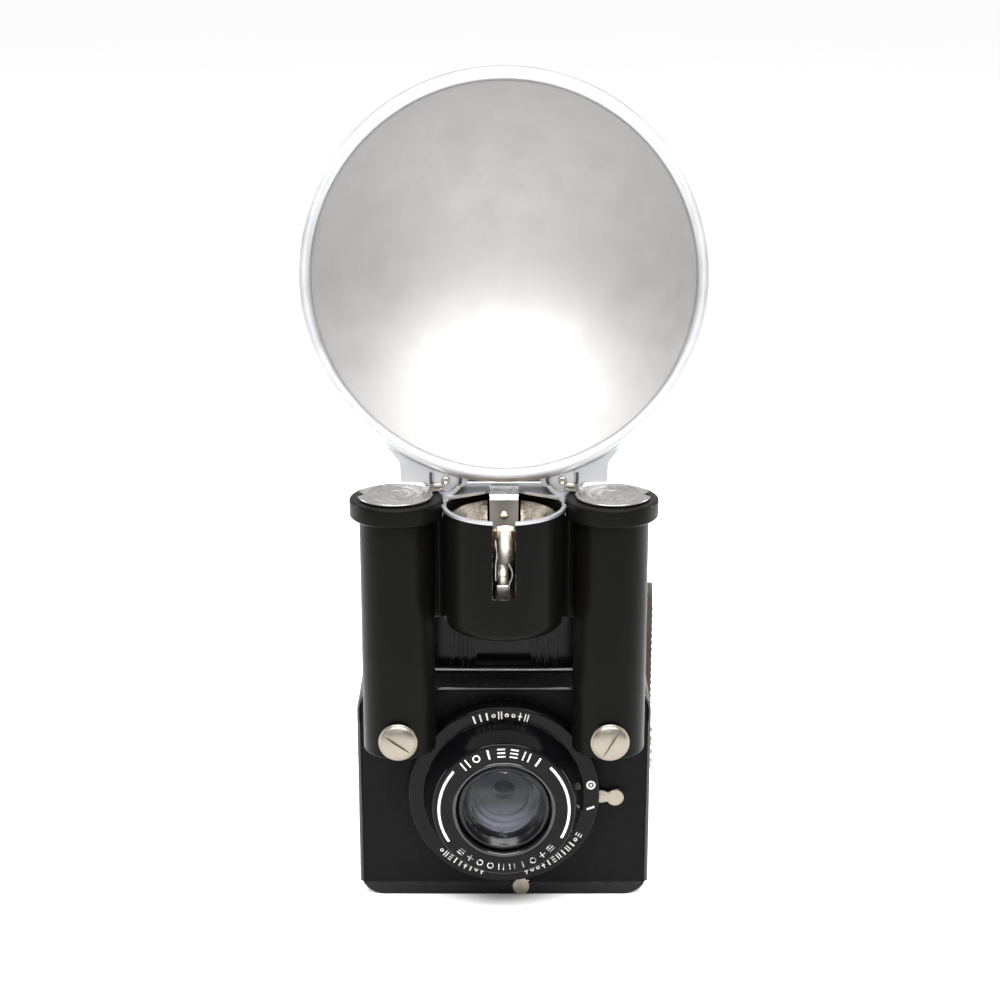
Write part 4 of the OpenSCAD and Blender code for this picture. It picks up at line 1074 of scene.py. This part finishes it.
def rims():
    """Folded edges of the front panel and of the finder's foot, which catch the light; the finder's foot is bare
    steel on a black part, a painted highlight line.
    """
    r = 0.75
    side_x, top_z, foot_z = CAMERA_HALF_W - r, CAMERA_TOP - r, low("front_panel").z + r
    corner = 10 - r
    path = [(side_x, foot_z)] + arc(side_x - corner, top_z - corner, corner, 0, 90, 14) \
        + arc(-side_x + corner, top_z - corner, corner, 90, 180, 14) + [(-side_x, foot_z)]
    panel = sweep("panel_rim", [(x, PANEL_Y + 0.25, z) for x, z in path], r, 12)
    place_piece(panel, "camera", "black_gloss", "black_lacquer")
    front = low("finder_housing").y + 0.6
    half = high("finder_housing").x - 0.2
    foot = sweep("finder_foot", [(-half, front, CAMERA_TOP + 0.9), (half, front, CAMERA_TOP + 0.9)], 0.9, 12)
    # Painted highlight: the foot of the black finder housing is given steel, so that it shows as a bright line.
    place_piece(foot, "camera", "black_gloss", "steel")


dress_nodes()
rims()
reflector()
for side, word in ((-1, "left"), (1, "right")):
    tube(side, "tube_" + word)
    web(side, "web_" + word)
    cover(side, "cover_" + word, "cover_rivet_" + word)
    thumb_screw(side, "thumb_screw_" + word)
shroud()
plate_rivets()
socket()
catch()
lens()
white_marks()
levers()
winding_key()
stitches()
SOFT_EDGES = {"top_plate": 0.35, "finder_housing": 0.5, "front_panel": 0.5, "body_shell": 0.6,
              "bottom_plate": 0.6, "back_door": 1.0, "door_latch": 0.4, "strap": 0.5,
              "shutter_release": 0.35, "hinge_lugs": 0.2, "strap_stud": 0.3}
for node, width in SOFT_EDGES.items():
    soften(node, width)


# ---- stage, light and camera ----


def stage():
    """Wide pale floor, flat as far as it is seen, and a pale sky that is brightest behind and above."""
    far = 60000
    floor = new_object("floor", [(-far, -far, 0), (far, -far, 0), (far, far, 0), (-far, far, 0)], [[0, 1, 2, 3]])
    s = Surface("floor", (0.93, 0.93, 0.93), 0.9)
    s.mix_color(s.ramp(s.noise(0.4, 3), 0.3, 0.7, 0, 0.3), (0.905, 0.905, 0.91))
    floor.data.materials.append(s.done())
    world = bpy.data.worlds.new("world")
    world.use_nodes = True
    tree = world.node_tree
    lift = tree.nodes.new("ShaderNodeVectorMath")
    lift.operation = "DOT_PRODUCT"
    tree.links.new(tree.nodes.new("ShaderNodeTexCoord").outputs["Generated"], lift.inputs[0])
    lift.inputs[1].default_value = (0, 0.75, 0.66)
    shade = tree.nodes.new("ShaderNodeMapRange")
    tree.links.new(lift.outputs["Value"], shade.inputs["Value"])
    for socket, value in (("From Min", -0.5), ("From Max", 0.35), ("To Min", 0.6), ("To Max", 1.1)):
        shade.inputs[socket].default_value = value
    tree.links.new(shade.outputs["Result"], tree.nodes["Background"].inputs["Strength"])
    tree.nodes["Background"].inputs["Color"].default_value = (1, 1, 1, 1)
    bpy.context.scene.world = world


def area_light(name, place, target, width, height, power):
    """A soft lamp of the given size in metres, aimed at the target."""
    data = bpy.data.lights.new(name, "AREA")
    data.shape = "RECTANGLE"
    data.size, data.size_y = width, height
    data.energy = power
    light = bpy.data.objects.new(name, data)
    light.location = place
    light.rotation_mode = "QUATERNION"
    light.rotation_quaternion = (Vector(target) - Vector(place)).to_track_quat("-Z", "Y")
    bpy.context.scene.collection.objects.link(light)


def camera():
    """In front of the object and above it, looking down at it like the photo."""
    look_down = 18.36
    data = bpy.data.cameras.new("camera")
    data.sensor_width = 36
    data.lens = 78.42
    data.shift_x = -0.004
    data.shift_y = 0.040
    cam = bpy.data.objects.new("camera", data)
    cam.location = (0, -0.8548, 0.422)
    cam.rotation_euler = (math.radians(90 - look_down), 0, 0)
    bpy.context.scene.collection.objects.link(cam)
    bpy.context.scene.camera = cam


stage()
area_light("overhead", (0, -0.46, 1.0), (0, -0.06, 0.2), 1.05, 0.75, 33)
area_light("front", (0, -1.5, 0.62), (0, -0.06, 0.12), 0.2, 0.2, 1.8)
area_light("side_right", (0.75, 0.22, 0.32), (0.05, -0.05, 0.12), 0.12, 0.6, 5)
area_light("side_left", (-0.75, 0.22, 0.32), (-0.05, -0.05, 0.12), 0.12, 0.6, 4)
camera()
bpy.context.scene.view_settings.view_transform = "Standard"
